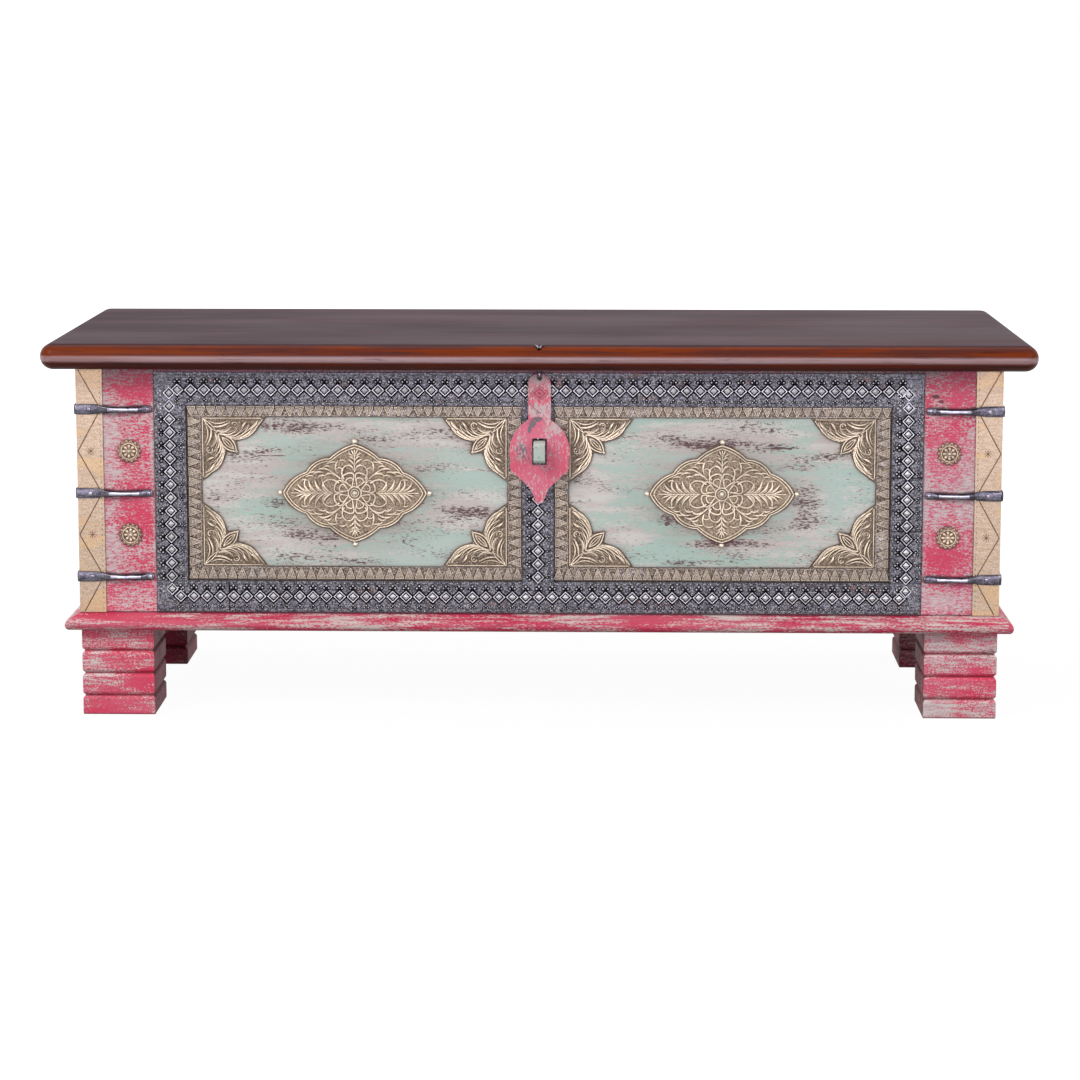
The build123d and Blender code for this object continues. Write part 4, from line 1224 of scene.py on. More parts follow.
@dataclass
class Lid:
    """Three glued planks with a full round edge, and the battens below."""

    length: float = 1180.0
    depth: float = 430.0
    thickness: float = 31.0
    underside: float = 425.0
    corner: float = 17.0
    edge_round: float = LID_ROUND
    corner_facets: int = 10
    round_facets: int = 10
    seam: float = 0.25
    pin_place: tuple = PIN_EYE
    pin_tilt: float = PIN_TILT
    pin_hole: float = 3.1
    pin_length: float = 140.0

    def board(self) -> BMesh:
        """The whole lid before it is cut into planks."""
        bm = bmesh.new()
        half = (self.length / 2, self.depth / 2)
        top = self.underside + self.thickness
        slab(bm, (-half[0], -half[1], self.underside), (half[0], half[1], top))
        for upright, offset, facets in ((True, self.corner, self.corner_facets),
                                        (False, self.edge_round, self.round_facets)):
            edges = [edge for edge in bm.edges if (abs(edge.verts[0].co.z - edge.verts[1].co.z) > 1) is upright]
            soften(bm, edges, offset, facets)
        bmesh.ops.remove_doubles(bm, verts=bm.verts[:], dist=0.02)
        return bm

    def plank(self, name: str, low: float, high: float) -> Object:
        """One plank, cut from the board between two depths.

        Args:
            name: Front, middle or back.
            low: Where it starts.
            high: Where it ends.

        Returns:
            The plank.
        """
        bm = self.board()
        for level, outward in ((low, -1), (high, 1)):
            if abs(level) > self.depth / 2 - 1:
                continue
            cut = bmesh.ops.bisect_plane(bm, geom=bm.verts[:] + bm.edges[:] + bm.faces[:], dist=0.001,
                                         plane_co=(0, level, 0), plane_no=(0, outward, 0), clear_outer=True)
            rim = [item for item in cut["geom_cut"] if isinstance(item, bmesh.types.BMEdge)]
            made = bmesh.ops.edgeloop_fill(bm, edges=rim)["faces"]
            soften(bm, [edge for face in made for edge in face.edges], self.seam, 1)
        return settle(bm, f"plank_{name}", Body.LID, [LID_WOOD], (f"lid_plank_{name}",), 40, True, True)

    def drill(self, plank: Object) -> None:
        """Bore the slanting hole for the split pin."""
        bm = bmesh.new()
        place = Matrix.Translation(self.pin_place) @ Matrix.Rotation(math.radians(self.pin_tilt), 4, "X")
        bmesh.ops.create_cone(bm, cap_ends=True, segments=20, radius1=self.pin_hole, radius2=self.pin_hole,
                              depth=self.pin_length, matrix=place)
        bmesh.ops.scale(bm, vec=(MM, MM, MM), verts=bm.verts[:])
        mesh = unit_of(bm, "drill")
        mesh.materials.append(PALETTE.of(LID_WOOD))
        drill = in_scene("drill", mesh)
        cut = plank.modifiers.new("pin hole", "BOOLEAN")
        cut.object = drill
        cut.solver = "EXACT"
        bpy.context.view_layer.update()
        even = plank.modifiers["even shading"]
        even.show_viewport = False
        bored = bpy.data.meshes.new_from_object(plank.evaluated_get(bpy.context.evaluated_depsgraph_get()))
        even.show_viewport = True
        plank.modifiers.remove(cut)
        plank.data = bored
        bpy.data.objects.remove(drill)

    def build(self) -> None:
        """Build the planks and dress the battens."""
        half, seam = self.depth / 2, self.depth / 6
        self.drill(self.plank("front", -half, -seam))
        self.plank("middle", -seam, seam)
        self.plank("back", seam, half)
        WornBoards(("lid_cleat_left", "lid_cleat_right"), RAW_WOOD_DEEP, "raw_wood", Body.LID, 1.2, 20).build()


# ----- Embossed sheet round the two windows -----


@dataclass
class EmbossedBands:
    """Blackened sheet with a row of framed diamonds and rows of dots."""

    pitch: float = 16.0
    sheet: float = 1.0
    face: float = -178.0
    tuck: float = 0.2
    shade_cover: float = 2.5
    first_x: float = -430.8
    row_count: int = 55
    column_x: float = 440.8
    column_top: float = 394.0
    column_pitch: float = 15.87
    column_count: int = 16
    half_diamond: tuple = (10.2, 9.9)
    trefoil: tuple = ((0, 13.0, 2.7), (-2.9, 10.3, 2.6), (2.9, 10.3, 2.6))
    drops: tuple = ((0, -11.2, 1.2), (-2.3, -13.2, 1.1), (2.3, -13.2, 1.1))
    dots: int = 4
    dot_row: float = 16.4
    lines: tuple = ((18.1, 0.4), (14.6, 0.25))
    line_height: float = 0.45
    lap_height: float = 0.3
    rounding: float = 0.3

    def diamond(self) -> Mesh:
        """One repeat: blackened ground, bright frame, recess, pyramid and trefoils."""
        bm = bmesh.new()
        wide, high = self.half_diamond
        outline = [(wide, 0), (0, high), (-wide, 0), (0, -high)]
        sheet_plate(bm, outline, 0.0, 0.14, 2)
        frame = sheet_plate(bm, [(x * 0.74, y * 0.74) for x, y in outline], 0.05, 0.3, 1)
        ridge(bm, frame, 0.75, 0.7, 1)
        inset(bm, frame, 1.5, -0.1, 2)
        for face in bmesh.ops.poke(bm, faces=[frame], offset=1.6)["faces"]:
            face.material_index = 3
        for x, y, radius in self.trefoil:
            disc(bm, x, y, radius, 0.12, 2)
            dome(bm, x, y, radius * 0.55, 0.9, 1)
        for x, y, radius in self.drops:
            disc(bm, x, y - 0.3, radius + 0.9, 0.12, 2, 5)
            dome(bm, x, y, radius, 0.8, 1, 4)
        return unit_of(bm)

    def edge_dots(self) -> Mesh:
        """One repeat of the dotted lines along both edges."""
        bm = bmesh.new()
        for side in (-1, 1):
            for index in range(self.dots):
                x = self.pitch * (index - (self.dots - 1) / 2) / self.dots
                dome(bm, x, side * self.dot_row, 0.95, 0.6, 3 if index % 2 else 0, 4)
        return unit_of(bm)

    def band(self, node: str, places: list[Point], upright: bool, seams: tuple = (), extra: tuple = ()) -> None:
        """One strip of sheet with its ornament.

        Args:
            node: The CAD node that it stands for.
            places: Middles of the diamonds.
            upright: Whether the row runs up.
            seams: Where one length of sheet laps the next.
            extra: Middles of upright diamonds beside the row.
        """
        low, high = corners(node)
        # Painted shade: the top strip reaches above its node, so its dark sheet covers the strip of rail under the lid,
        # which lies in shade.
        top = high.z + (self.shade_cover if node == "band_top" else 0)
        bm = bmesh.new()
        slab(bm, (low.x, self.face, low.z), (high.x, self.face + self.sheet, top))
        soften(bm, [edge for edge in bm.edges if min(v.co.y for v in edge.verts) < self.face + 0.1], self.rounding, 1)
        turn = 90 if upright else 0
        diamond, dots = self.diamond(), self.edge_dots()
        for x, z in places:
            place = front_at(x, self.face, z, turn)
            stamp(bm, diamond, place)
            stamp(bm, dots, place)
        for x, z in extra:
            stamp(bm, diamond, front_at(x, self.face + self.tuck, z, 90))
        spans = [(low.x, high.x), (low.z, high.z)]
        across, run = spans if upright else spans[::-1]
        for side in (-1, 1):
            for away, width in self.lines:
                middle = sum(across) / 2 + side * away
                bar(bm, upright, (middle - width, middle + width), (run[0] + 0.4, run[1] - 0.4),
                    (self.face - self.line_height, self.face), 0)
        for seam in seams:
            bar(bm, not upright, (seam - 0.5, seam + 0.5), across, (self.face - self.lap_height, self.face), 2)
        settle(bm, f"embossed_{node}", Body.CARCASE,
               [SHEET_FIELD, SHEET_BRIGHT, SHEET_BLACK, SHEET_GREY], (node,))

    def build(self) -> None:
        """Build the five strips."""
        row = [self.first_x + index * self.pitch for index in range(self.row_count)]
        column = [self.column_top - index * self.column_pitch for index in range(self.column_count)]
        for node, seams, ends in (("band_top", (118.0,), column[:2]), ("band_bottom", (-372.0,), column[-1:])):
            low, high = corners(node)
            level = (low.z + high.z) / 2
            extra = tuple((sign * self.column_x, z) for z in ends for sign in (-1, 1))
            self.band(node, [(x, level) for x in row], False, seams, extra)
        inner = column[2:-1]
        for side, seams in ((Side.LEFT, (331.0, 232.0)), (Side.RIGHT, (327.0, 294.0, 229.0))):
            x = side.value * self.column_x
            self.band(f"band_{side.label}", [(x, z) for z in inner], True, seams)
        self.band("band_middle", [(0, z) for z in inner], True)


# ----- Brass on the panels -----


@dataclass
class BrassBorders:
    """Strips of pale brass round each window, with a row of pointed leaves."""

    pitch: float = 11.8
    rise: float = 0.6
    bottom_width: float = 16.5
    top_width: float = 13.9
    side_width: float = 17.3
    half_leaf: float = 5.3
    beads: tuple = ((-2.3, 2.2), (0, 1.9), (2.3, 2.2), (-1.2, 4.6), (1.2, 4.6), (0, 7.0))

    def leaf(self, width: float) -> Mesh:
        """One repeat: a raised three-cornered leaf full of beads, and a bead beside its tip."""
        bm = bmesh.new()
        half, tip, foot = self.half_leaf, width * 0.42, -width * 0.38
        right = [(half, foot), (half * 0.86, foot + 3.4), (0.8, tip)]
        outline = [(-half, foot)] + right + [(-x, y) for x, y in right[:0:-1]]
        face = sheet_plate(bm, outline, 0, self.rise, 2)
        ridge(bm, face, 0.45, 0.5, 1)
        face.material_index = 2
        for x, y in self.beads:
            dome(bm, x, foot + y, 0.95, self.rise + 0.75, 1, 4)
        dome(bm, self.pitch / 2, tip - 1.4, 1.3, 0.8, 2, 5)
        return unit_of(bm)

    def strip(self, bm: BMesh, low: tuple, high: tuple, y: float, turn: float) -> None:
        """Add one strip between two corners in X and Z.

        Args:
            bm: The mesh to add to.
            low: Lowest X and Z.
            high: Highest X and Z.
            y: Its face.
            turn: Turn of the leaves in degrees.
        """
        slab(bm, (low[0], y, low[1]), (high[0], y + 1, high[1]))
        upright = turn % 180 != 0
        spans = list(zip(low, high))
        across, run = spans if upright else spans[::-1]
        middle, length, width = sum(across) / 2, run[1] - run[0], across[1] - across[0]
        unit = self.leaf(width)
        count = int(length // self.pitch)
        for index in range(count):
            away = sum(run) / 2 + (index - (count - 1) / 2) * length / count
            x, z = (middle, away) if upright else (away, middle)
            stamp(bm, unit, front_at(x, y, z, turn))
        for side in (-1, 1):
            rib = middle + side * (width / 2 - 0.9)
            bar(bm, upright, (rib - 0.35, rib + 0.35), run, (y - 0.4, y), 2)

    def build(self) -> None:
        """Build the strips round both windows."""
        for side in Side:
            low, high = corners(f"border_{side.label}")
            inner_low, inner_high = low.z + self.bottom_width, high.z - self.top_width
            bm = bmesh.new()
            self.strip(bm, (low.x, inner_high), (high.x, high.z), low.y, 180)
            self.strip(bm, (low.x, low.z), (high.x, inner_low), low.y, 0)
            self.strip(bm, (low.x, inner_low), (low.x + self.side_width, inner_high), low.y, -90)
            self.strip(bm, (high.x - self.side_width, inner_low), (high.x, inner_high), low.y, 90)
            settle(bm, f"embossed_border_{side.label}", Body.CARCASE,
                   [BRASS_BORDER, BRASS_HIGH, BORDER_LEAF], (f"border_{side.label}",))


@dataclass
class Spandrels:
    """Corner plates of chased leaves, four to a window."""

    leg: float = 78.0
    face: float = PANEL_Y
    sheet: float = PANEL_SHEET

    def half_outline(self, within: float = 0.0) -> list[Point]:
        """Half of the plate's long side, from the tip of a leg to the leaf.

        Args:
            within: How far inside the edge.

        Returns:
            The points.
        """
        leg = self.leg
        tip, lobe, notch = (leg, 0.0), (0.80 * leg, 0.245 * leg), (0.53 * leg, 0.395 * leg)
        side, leaf = (0.555 * leg, 0.47 * leg), (0.53 * leg, 0.53 * leg)
        points = arc_through(tip, lobe, notch, 10) + arc_through(notch, side, leaf, 5) + [leaf]
        return [(x - within * 0.9, y - within * 0.55) for x, y in points]

    def outline(self) -> list[Point]:
        """The whole outline of the plate."""
        half = self.half_outline()
        return [(0.0, 0.0)] + half + [(y, x) for x, y in reversed(half[:-1])]

    def strokes(self) -> list:
        """The chased lines of one plate: a fan of leaves on each leg, and a pointed leaf between."""
        rim = [point for point in self.half_outline(1.5) if point[0] > 0.56 * self.leg and point[1] > 2.4]
        second = [(x - 2.9, y - 2.4) for x, y in rim[1:]]
        half = [along([(2.2, 2.2), (73, 2.2)], 0.8), along(rim, 0.8), along(second, 0.7)]
        single = [
            Bow(3.4, 3.2, 20.5, 19.0, 0.10, 1.3, Taper.VINE), Bow(9, 5, 33, 4.6, 0.16, 1.1),
            Bow(13, 12, 36, 6.0, 0.12, 1.7), Bow(19, 17, 37, 12.6, 0.20, 1.2), Bow(22.5, 19.5, 44.5, 13.4, 0.24, 1.25),
            Bow(26, 22, 51.5, 11.6, 0.24, 1.3), Bow(30, 24.4, 58, 9.6, 0.23, 1.35), Bow(34.5, 26.6, 65, 7.6, 0.20, 1.4),
            Bow(39.5, 28.2, 71, 5.2, 0.17, 1.3), Bow(49.5, 15.6, 55.2, 6.0, -0.10, 1.9),
            Bow(57, 15.6, 68.6, 5.2, 0.10, 2.0), Bow(21, 21, 44, 42.6, 0.22, 1.05, Taper.LINE),
            Bow(25.4, 25.4, 40.5, 39.6, 0.16, 0.75, Taper.LINE), Stroke(37.4, 9.4, -72, 17, 285, 1.1, Taper.VINE),
        ]
        single += [replace(bow, sag=bow.sag * 0.5, width=0.65, taper=Taper.VINE) for bow in single[3:9]]
        beads = [bead(*place) for place in ((41.4, 9.6, 1.3), (20.4, 8.6, 1.4), (29, 9.4, 0.9), (46.5, 7.0, 1.0),
                                            (61.5, 6.0, 0.9), (34.5, 8.2, 0.9))]
        half += [stroke.points() for stroke in single] + beads
        return mirrored(half, False, False, True) + [along([(25, 25), (39, 39)], 0.7)]

    def build(self) -> None:
        """Build the plates of both windows."""
        units = ((rimmed_plate(self.outline(), self.sheet), self.face),
                 (tinted(chased(self.strokes(), 1.2, 1, 0.8), 1), self.face - self.sheet))
        for side in Side:
            low, high = corners(f"spandrels_{side.label}")
            bm = bmesh.new()
            for x, flip_x in ((low.x, False), (high.x, True)):
                for z, flip_z in ((low.z, False), (high.z, True)):
                    for unit, y in units:
                        stamp(bm, unit, front_at(x, y, z, 0, flip_x, flip_z))
            settle(bm, f"chased_spandrels_{side.label}", Body.CARCASE, [SPANDREL_FIELD, BRASS_HIGH],
                   (f"spandrels_{side.label}",), 40, True)


@dataclass
class Medallions:
    """Pointed oval plates with a flower, palmettes and scrolls, and their studs."""

    half_length: float = 87.0
    half_height: float = 60.0
    centre_x: float = 220.125
    centre_z: float = 272.55
    face: float = PANEL_Y
    sheet: float = PANEL_SHEET
    stud_places: tuple = ((89.6, 0), (-89.6, 0), (0, 62.6), (0, -62.6))

    def quarter(self, shrink: float) -> list[Point]:
        """A quarter of the outline, from the tip to just before the crown.

        Args:
            shrink: How far inside the edge.

        Returns:
            The points.
        """
        a, b = self.half_length - shrink, self.half_height - shrink * 0.93
        tip, first = (a, 0.0), (0.675 * a, 0.423 * b)
        second, crown = (0.345 * a, 0.707 * b), (0.0, b)
        return (
            arc_through(tip, (0.865 * a, 0.27 * b), first, 7)
            + arc_through(first, (0.54 * a, 0.63 * b), second, 7)
            + arc_through(second, (0.185 * a, 0.885 * b), crown, 7)
        )

    def outline(self) -> list[Point]:
        """The whole outline, anticlockwise from the right tip."""
        quarter = self.quarter(0)
        upper = quarter + [(0.0, self.half_height)] + [(-x, y) for x, y in reversed(quarter)]
        return upper + [(x, -y) for x, y in reversed(upper[1:-1])]

    def lobes(self, shrink: float) -> list:
        """The edges of the twelve lobes, as open runs that meet in cusps."""
        quarter = self.quarter(shrink)
        crown = (0.0, self.half_height - shrink * 0.93)
        runs = [quarter[:8], quarter[7:15], quarter[14:] + [crown]]
        return mirrored([along(run, 0.95 if shrink < 3 else 0.8) for run in runs])

    def petals(self) -> list:
        """Eight double petals round a ring."""
        turns = [22.5 + 45 * index for index in range(8)]
        return [petal(turn, 8, 25.5, 7.6, 0.75) for turn in turns] + [petal(turn, 8, 19.5, 4.4, 0.6) for turn in turns]

    def strokes(self) -> list:
        """The chased lines of one medallion."""
        right = [Stroke(start, 0.8, 20, length, 66, 1.65) for start, length in ((28, 19), (36, 21), (44, 20), (52, 15))]
        right += [Stroke(start + 3.2, 0.9, 12, 10, 54, 0.85) for start in (28, 36, 44, 52)]
        right += [Stroke(60, 0.8, 10, 15, 22, 1.4), Stroke(59, 1.2, 34, 15, 26, 1.4), Stroke(57.5, 2, 56, 17, 60, 1.3)]
        upward = [Stroke(start, 0.8, 18, length, 62, 1.4) for start, length in ((28, 11), (34, 11), (40, 8))]
        upward += [Stroke(45, 0.8, 12, 9, 20, 1.1), Stroke(44, 1.2, 40, 9, 40, 1.1)]
        scrolls = [
            Stroke(12.5, 17, 58, 31, 215, 1.35, Taper.VINE, 1.5, 14),
            Stroke(18.5, 12, 36, 35, -205, 1.4, Taper.VINE, 1.6, 14),
            Stroke(17, 17, 45, 22, -18, 1.1, Taper.LINE), Stroke(23, 21, 50, 16, -110, 1.5),
            Stroke(21, 24, 60, 17, 70, 1.4),
            Stroke(30, 27, 40, 16, -75, 1.5), Stroke(28, 30, 62, 12, -120, 1.3), Stroke(38, 25, 24, 14, -80, 1.4),
            Stroke(34, 20, 40, 13, -110, 1.3), Stroke(45, 25, 20, 12, -60, 1.2), Stroke(49, 20, 30, 11, -70, 1.2),
            Stroke(14, 27, 68, 14, -200, 1.1, Taper.VINE, 1.4), Stroke(10, 38, 50, 11, -100, 1.1),
            Stroke(56, 15, 36, 10, -80, 1.1), Stroke(20, 37, 20, 12, -50, 1.1), Stroke(26, 38, 0, 10, -50, 1.0),
        ]
        scrolls += [replace(one, turn=one.turn * 0.55, length=one.length * 0.72, width=0.65) for one in scrolls[3:11]]
        right += [replace(one, turn=one.turn * 0.5, length=one.length * 0.8, width=0.7) for one in right[:3]]
        quarter = [stroke.points() for stroke in right + scrolls]
        quarter += [[(y, x, width) for x, y, width in stroke.points()] for stroke in upward]
        quarter += [bead(*place) for place in ((22, 33.5, 1.3), (40, 19.5, 1.2), (50.5, 13, 1.1), (32, 35.5, 1.0),
                                               (63.5, 15.5, 1.2), (9, 30.5, 1.0), (6.2, 49, 1.2), (24.5, 9.5, 1.1))]
        result = mirrored(quarter) + self.petals() + self.lobes(1.3) + self.lobes(5.2)
        result += [along(circle(radius, 24), width, True) for radius, width in ((7.8, 1.0), (4.6, 0.7))]
        result += mirrored([along([(26, 0), (50, 0), (77, 0)], 0.9)], True, False)
        result += mirrored([along([(0, 26), (0, 38), (0, 53)], 0.9)], False, True)
        return result

    def stud(self) -> Mesh:
        """A domed stud head."""
        bm = bmesh.new()
        bmesh.ops.create_uvsphere(bm, u_segments=14, v_segments=8, radius=3.1, matrix=Matrix.Diagonal((1, 1, 0.62, 1)))
        bmesh.ops.create_cone(bm, cap_ends=True, segments=14, radius1=3.4, radius2=3.2, depth=0.5,
                              matrix=Matrix.Translation((0, 0, 0.25)))
        return unit_of(bm)

    def build(self) -> None:
        """Build both medallions and the ten studs."""
        plate = rimmed_plate(self.outline(), self.sheet)
        lines = tinted(chased(self.strokes(), 1.1, 1, 0.9), 1)
        studs = bmesh.new()
        stud = self.stud()
        for side in Side:
            x = side.value * self.centre_x
            bm = bmesh.new()
            stamp(bm, plate, front_at(x, self.face, self.centre_z))
            stamp(bm, lines, front_at(x, self.face - self.sheet, self.centre_z))
            settle(bm, f"chased_medallion_{side.label}", Body.CARCASE, [BRASS_FIELD, BRASS_HIGH],
                   (f"medallion_{side.label}",), 40, True)
            stamp(studs, stud, front_at(x, self.face - self.sheet - 0.9, self.centre_z))
            for dx, dz in self.stud_places:
                stamp(studs, stud, front_at(x + dx, self.face, self.centre_z + dz))
        settle(studs, "domed_studs", Body.CARCASE, [STUD_BRASS], ("medallion_studs",), 60)


# ----- Brass and iron on the corners -----


@dataclass
class CornerStrips:
    """Pale brass sheet folded round the front corners, with an incised zigzag."""

    width: float = 31.0
    sheet: float = 0.8
    body_x: float = BODY_X
    body_y: float = BODY_Y
    low: float = 127.0
    high: float = 424.7
    inner_levels: tuple = STRAP_LEVELS
    outer_levels: tuple = (120.0, *STAR_LEVELS, 425.1)
    margin: float = 1.5
    line: float = 0.68
    punch: float = 5.0
    star_x: float = 17.0
    notches: int = 46
    notch_pitch: float = 6.4

    def zigzag(self) -> list[tuple[Point, Point]]:
        """The lines as pairs of (distance from the corner, level)."""
        points = []
        for outer, inner in zip(self.outer_levels, self.inner_levels):
            points += [(self.margin, outer), (self.width - self.margin, inner)]
        points.append((self.margin, self.outer_levels[-1]))
        return list(zip(points, points[1:]))

    def engraving(self) -> Mesh:
        """The incised lines and punches on one face, as fine dark channels, from the corner inwards."""
        strokes = []
        for (x0, z0), (x1, z1) in self.zigzag():
            share0 = max(0.0, (self.low + 1 - z0) / (z1 - z0)) if z1 > z0 else 0.0
            share1 = min(1.0, (self.high - 1 - z0) / (z1 - z0)) if z1 > z0 else 1.0
            strokes.append(along([(x0 + (x1 - x0) * s, z0 + (z1 - z0) * s) for s in (share0, share1)], self.line))
        for level in self.outer_levels[1:-1]:
            for dx, dz in circle(self.punch, 8)[:4]:
                strokes.append(along([(self.star_x - dx, level - dz), (self.star_x + dx, level + dz)], 0.36))
        for index in range(self.notches):
            x, z = self.width - 2.2, self.low + 4 + index * self.notch_pitch
            strokes.append(along([(x, z), (x, z + 1.4)], 0.5))
        return chased(strokes, 0.35, 0)

    def build(self) -> None:
        """Build both strips."""
        lines = tinted(self.engraving(), 1)
        for side in Side:
            bm = cad_copy(f"corner_strip_{side.label}")
            sign = side.value
            corner = Matrix.Translation((sign * (self.body_x + self.sheet), self.body_y - self.sheet, 0))
            turn = Matrix.Rotation(math.radians(90 * sign), 4, "Z")
            stamp(bm, lines, corner @ FRONT @ Matrix.Diagonal((-sign, 1, 1, 1)))
            stamp(bm, lines, corner @ turn @ FRONT @ Matrix.Diagonal((sign, 1, 1, 1)))
            settle(bm, f"incised_corner_strip_{side.label}", Body.CARCASE, [CORNER_BRASS, CORNER_LINE],
                   (f"corner_strip_{side.label}",), 32, True)


@dataclass
class Straps:
    """Forged straps round the front corners: a flat end, a proud bar and a small tip."""

    body_x: float = BODY_X
    body_y: float = BODY_Y
    levels: tuple = STRAP_LEVELS
    rings: tuple = (
        (0.0, 6.3, 1.5, 1.9), (8.0, 6.3, 1.3, 2.0), (20.0, 6.1, 1.25, 2.1), (25.0, 5.5, 1.6, 2.4),
        (31.0, 4.5, 2.4, 3.2), (38.0, 3.8, 2.9, 4.4), (48.0, 3.4, 2.8, 5.1), (58.0, 3.3, 2.8, 4.8),
        (67.0, 3.4, 2.7, 3.9), (74.0, 3.5, 2.2, 2.7), (79.0, 3.8, 1.3, 1.5), (84.0, 4.3, 1.0, 1.0),
        (89.4, 3.6, 0.8, 0.8),
    )
    sections: int = 12
    flat_end: float = 30.0
    bar_reach: tuple = (32.0, 80.0)
    highlight_reach: tuple = (34.0, 76.0)
    fold: float = 2.0
    proud: float = 2.9
    fold_half: float = 6.2
    nail_places: tuple = ((15, 3.2), (85, 1.9))

    def arm(self) -> BMesh:
        """One arm along +X from the corner, its back on Z = 0, through rings of (x, half width, half height, z)."""
        bm = bmesh.new()
        previous = None
        turn = Matrix.Rotation(math.radians(90), 4, "Y")
        for index, (x, half, thick, lift) in enumerate(self.rings):
            place = Matrix.Translation((x, 0, lift)) @ Matrix.Diagonal((1, half, thick, 1)) @ turn
            cap = index in (0, len(self.rings) - 1)
            ring = bmesh.ops.create_circle(bm, cap_ends=cap, segments=self.sections, radius=1, matrix=place)["verts"]
            for vert in ring:
                square = 0.24 * max(0.0, 1 - x / self.flat_end)
                vert.co.y *= 1 + square * (abs(vert.co.z - lift) / thick)
            loop = list({edge for vert in ring for edge in vert.link_edges})
            if previous is not None:
                made = bmesh.ops.bridge_loops(bm, edges=previous + loop)["faces"]
                bmesh.ops.recalc_face_normals(bm, faces=bm.faces[:])
                for face in made:
                    face.material_index = 1 if x < self.bar_reach[0] or x > self.bar_reach[1] else 0
                    # Painted highlight: faces that look straight out from the wall in the middle of the bar take the
                    # third slot.
                    if self.highlight_reach[0] < x < self.highlight_reach[1] and face.normal.z > 0.9:
                        face.material_index = 2
            previous = loop
        bmesh.ops.recalc_face_normals(bm, faces=bm.faces[:])
        return bm

    def nail(self) -> Mesh:
        """A square forged nail head with a worn crown."""
        bm = bmesh.new()
        slab(bm, (-2.5, -2.5, -0.6), (2.5, 2.5, 1.1))
        soften(bm, bm.edges[:], 0.7, 2)
        return unit_of(bm)

    def build(self) -> None:
        """Build the straps and their nails."""
        arm = unit_of(self.arm())
        nail = self.nail()
        nails = bmesh.new()
        for side in Side:
            sign = side.value
            bm = bmesh.new()
            for level in self.levels:
                corner = Matrix.Translation((sign * self.body_x, self.body_y, level))
                flip = Matrix.Diagonal((sign, 1, 1, 1))
                to_front = corner @ flip @ FRONT @ Matrix.Diagonal((-1, 1, 1, 1))
                to_side = corner @ flip @ Matrix.Rotation(math.radians(90), 4, "Z") @ FRONT
                stamp(bm, arm, to_front)
                stamp(bm, arm, to_side)
                fold = slab(bm, (sign * self.body_x - self.fold, self.body_y - self.proud, level - self.fold_half),
                            (sign * self.body_x + self.fold, self.body_y + self.fold, level + self.fold_half))
                bmesh.ops.translate(bm, vec=(sign * 0.8, 0, 0), verts=fold)
                soften(bm, list({edge for vert in fold for edge in vert.link_edges}), 0.9)
                for along_arm, lift in self.nail_places:
                    for to_face in (to_front, to_side):
                        stamp(nails, nail, to_face @ Matrix.Translation((along_arm, 0, lift)))
            settle(bm, f"forged_straps_{side.label}", Body.CARCASE, [STRAP_IRON, STRAP_BRIGHT, STRAP_HIGHLIGHT],
                   (f"straps_{side.label}",), 48, True)
        settle(nails, "forged_nails", Body.CARCASE, [IRON], ("strap_nails",), 50, True)


@dataclass
class Rosettes:
    """Small brass rosettes with a scalloped rim, a ring of petals and a boss."""

    place_x: float = 490.0
    levels: tuple = STAR_LEVELS
    face: float = BODY_Y
    radius: float = 12.2
    groove: float = 9.5
    knobs: tuple = (
        (14, 12.2, 0.5, (2.3, 2.1, 1.4), 0), (8, 5.9, 1.2, (2.5, 1.75, 1.2), 1), (1, 0, 1.3, (2.5, 2.5, 1.9), 1),
    )

    def knob(self, bm: BMesh, reach: float, degrees: float, height: float, size: tuple, material: int) -> None:
        """Add a flattened knob, away from the middle in some direction.

        Args:
            bm: The mesh to add to.
            reach: Distance from the middle.
            degrees: Its direction.
            height: Height of its middle.
            size: Half sizes outwards, across and up.
            material: Slot of its faces.
        """
        place = (Matrix.Rotation(math.radians(degrees), 4, "Z") @ Matrix.Translation((reach, 0, height))
                 @ Matrix.Diagonal((*size, 1)))
        made = bmesh.ops.create_uvsphere(bm, u_segments=10, v_segments=6, radius=1, matrix=place)
        painted(made["verts"], material)

    def rosette(self) -> Mesh:
        """One rosette, facing +Z."""
        bm = bmesh.new()
        bmesh.ops.create_cone(bm, cap_ends=True, segments=40, radius1=self.radius, radius2=self.radius - 0.4,
                              depth=1.2, matrix=Matrix.Translation((0, 0, 0.6)))
        disc(bm, 0, 0, self.groove, 1.22, 2, 30)
        for count, reach, height, size, material in self.knobs:
            for index in range(count):
                self.knob(bm, reach, 360 * index / count, height, size, material)
        rings = [along(circle(radius, 30), width, True) for radius, width in ((self.groove, 0.6), (3.1, 0.4))]
        stamp(bm, tinted(chased(rings, 1.2), 1), Matrix.Translation((0, 0, 1.2)))
        return unit_of(bm)

    def build(self) -> None:
        """Build the four rosettes."""
        unit = self.rosette()
        for side in Side:
            bm = bmesh.new()
            for level in self.levels:
                stamp(bm, unit, front_at(side.value * self.place_x, self.face, level))
            settle(bm, f"chased_rosettes_{side.label}", Body.CARCASE,
                   [ROSETTE_FIELD, ROSETTE_HIGH, ROSETTE_DEEP], (f"rosettes_{side.label}",), 38)


# ----- Lock and hinges -----


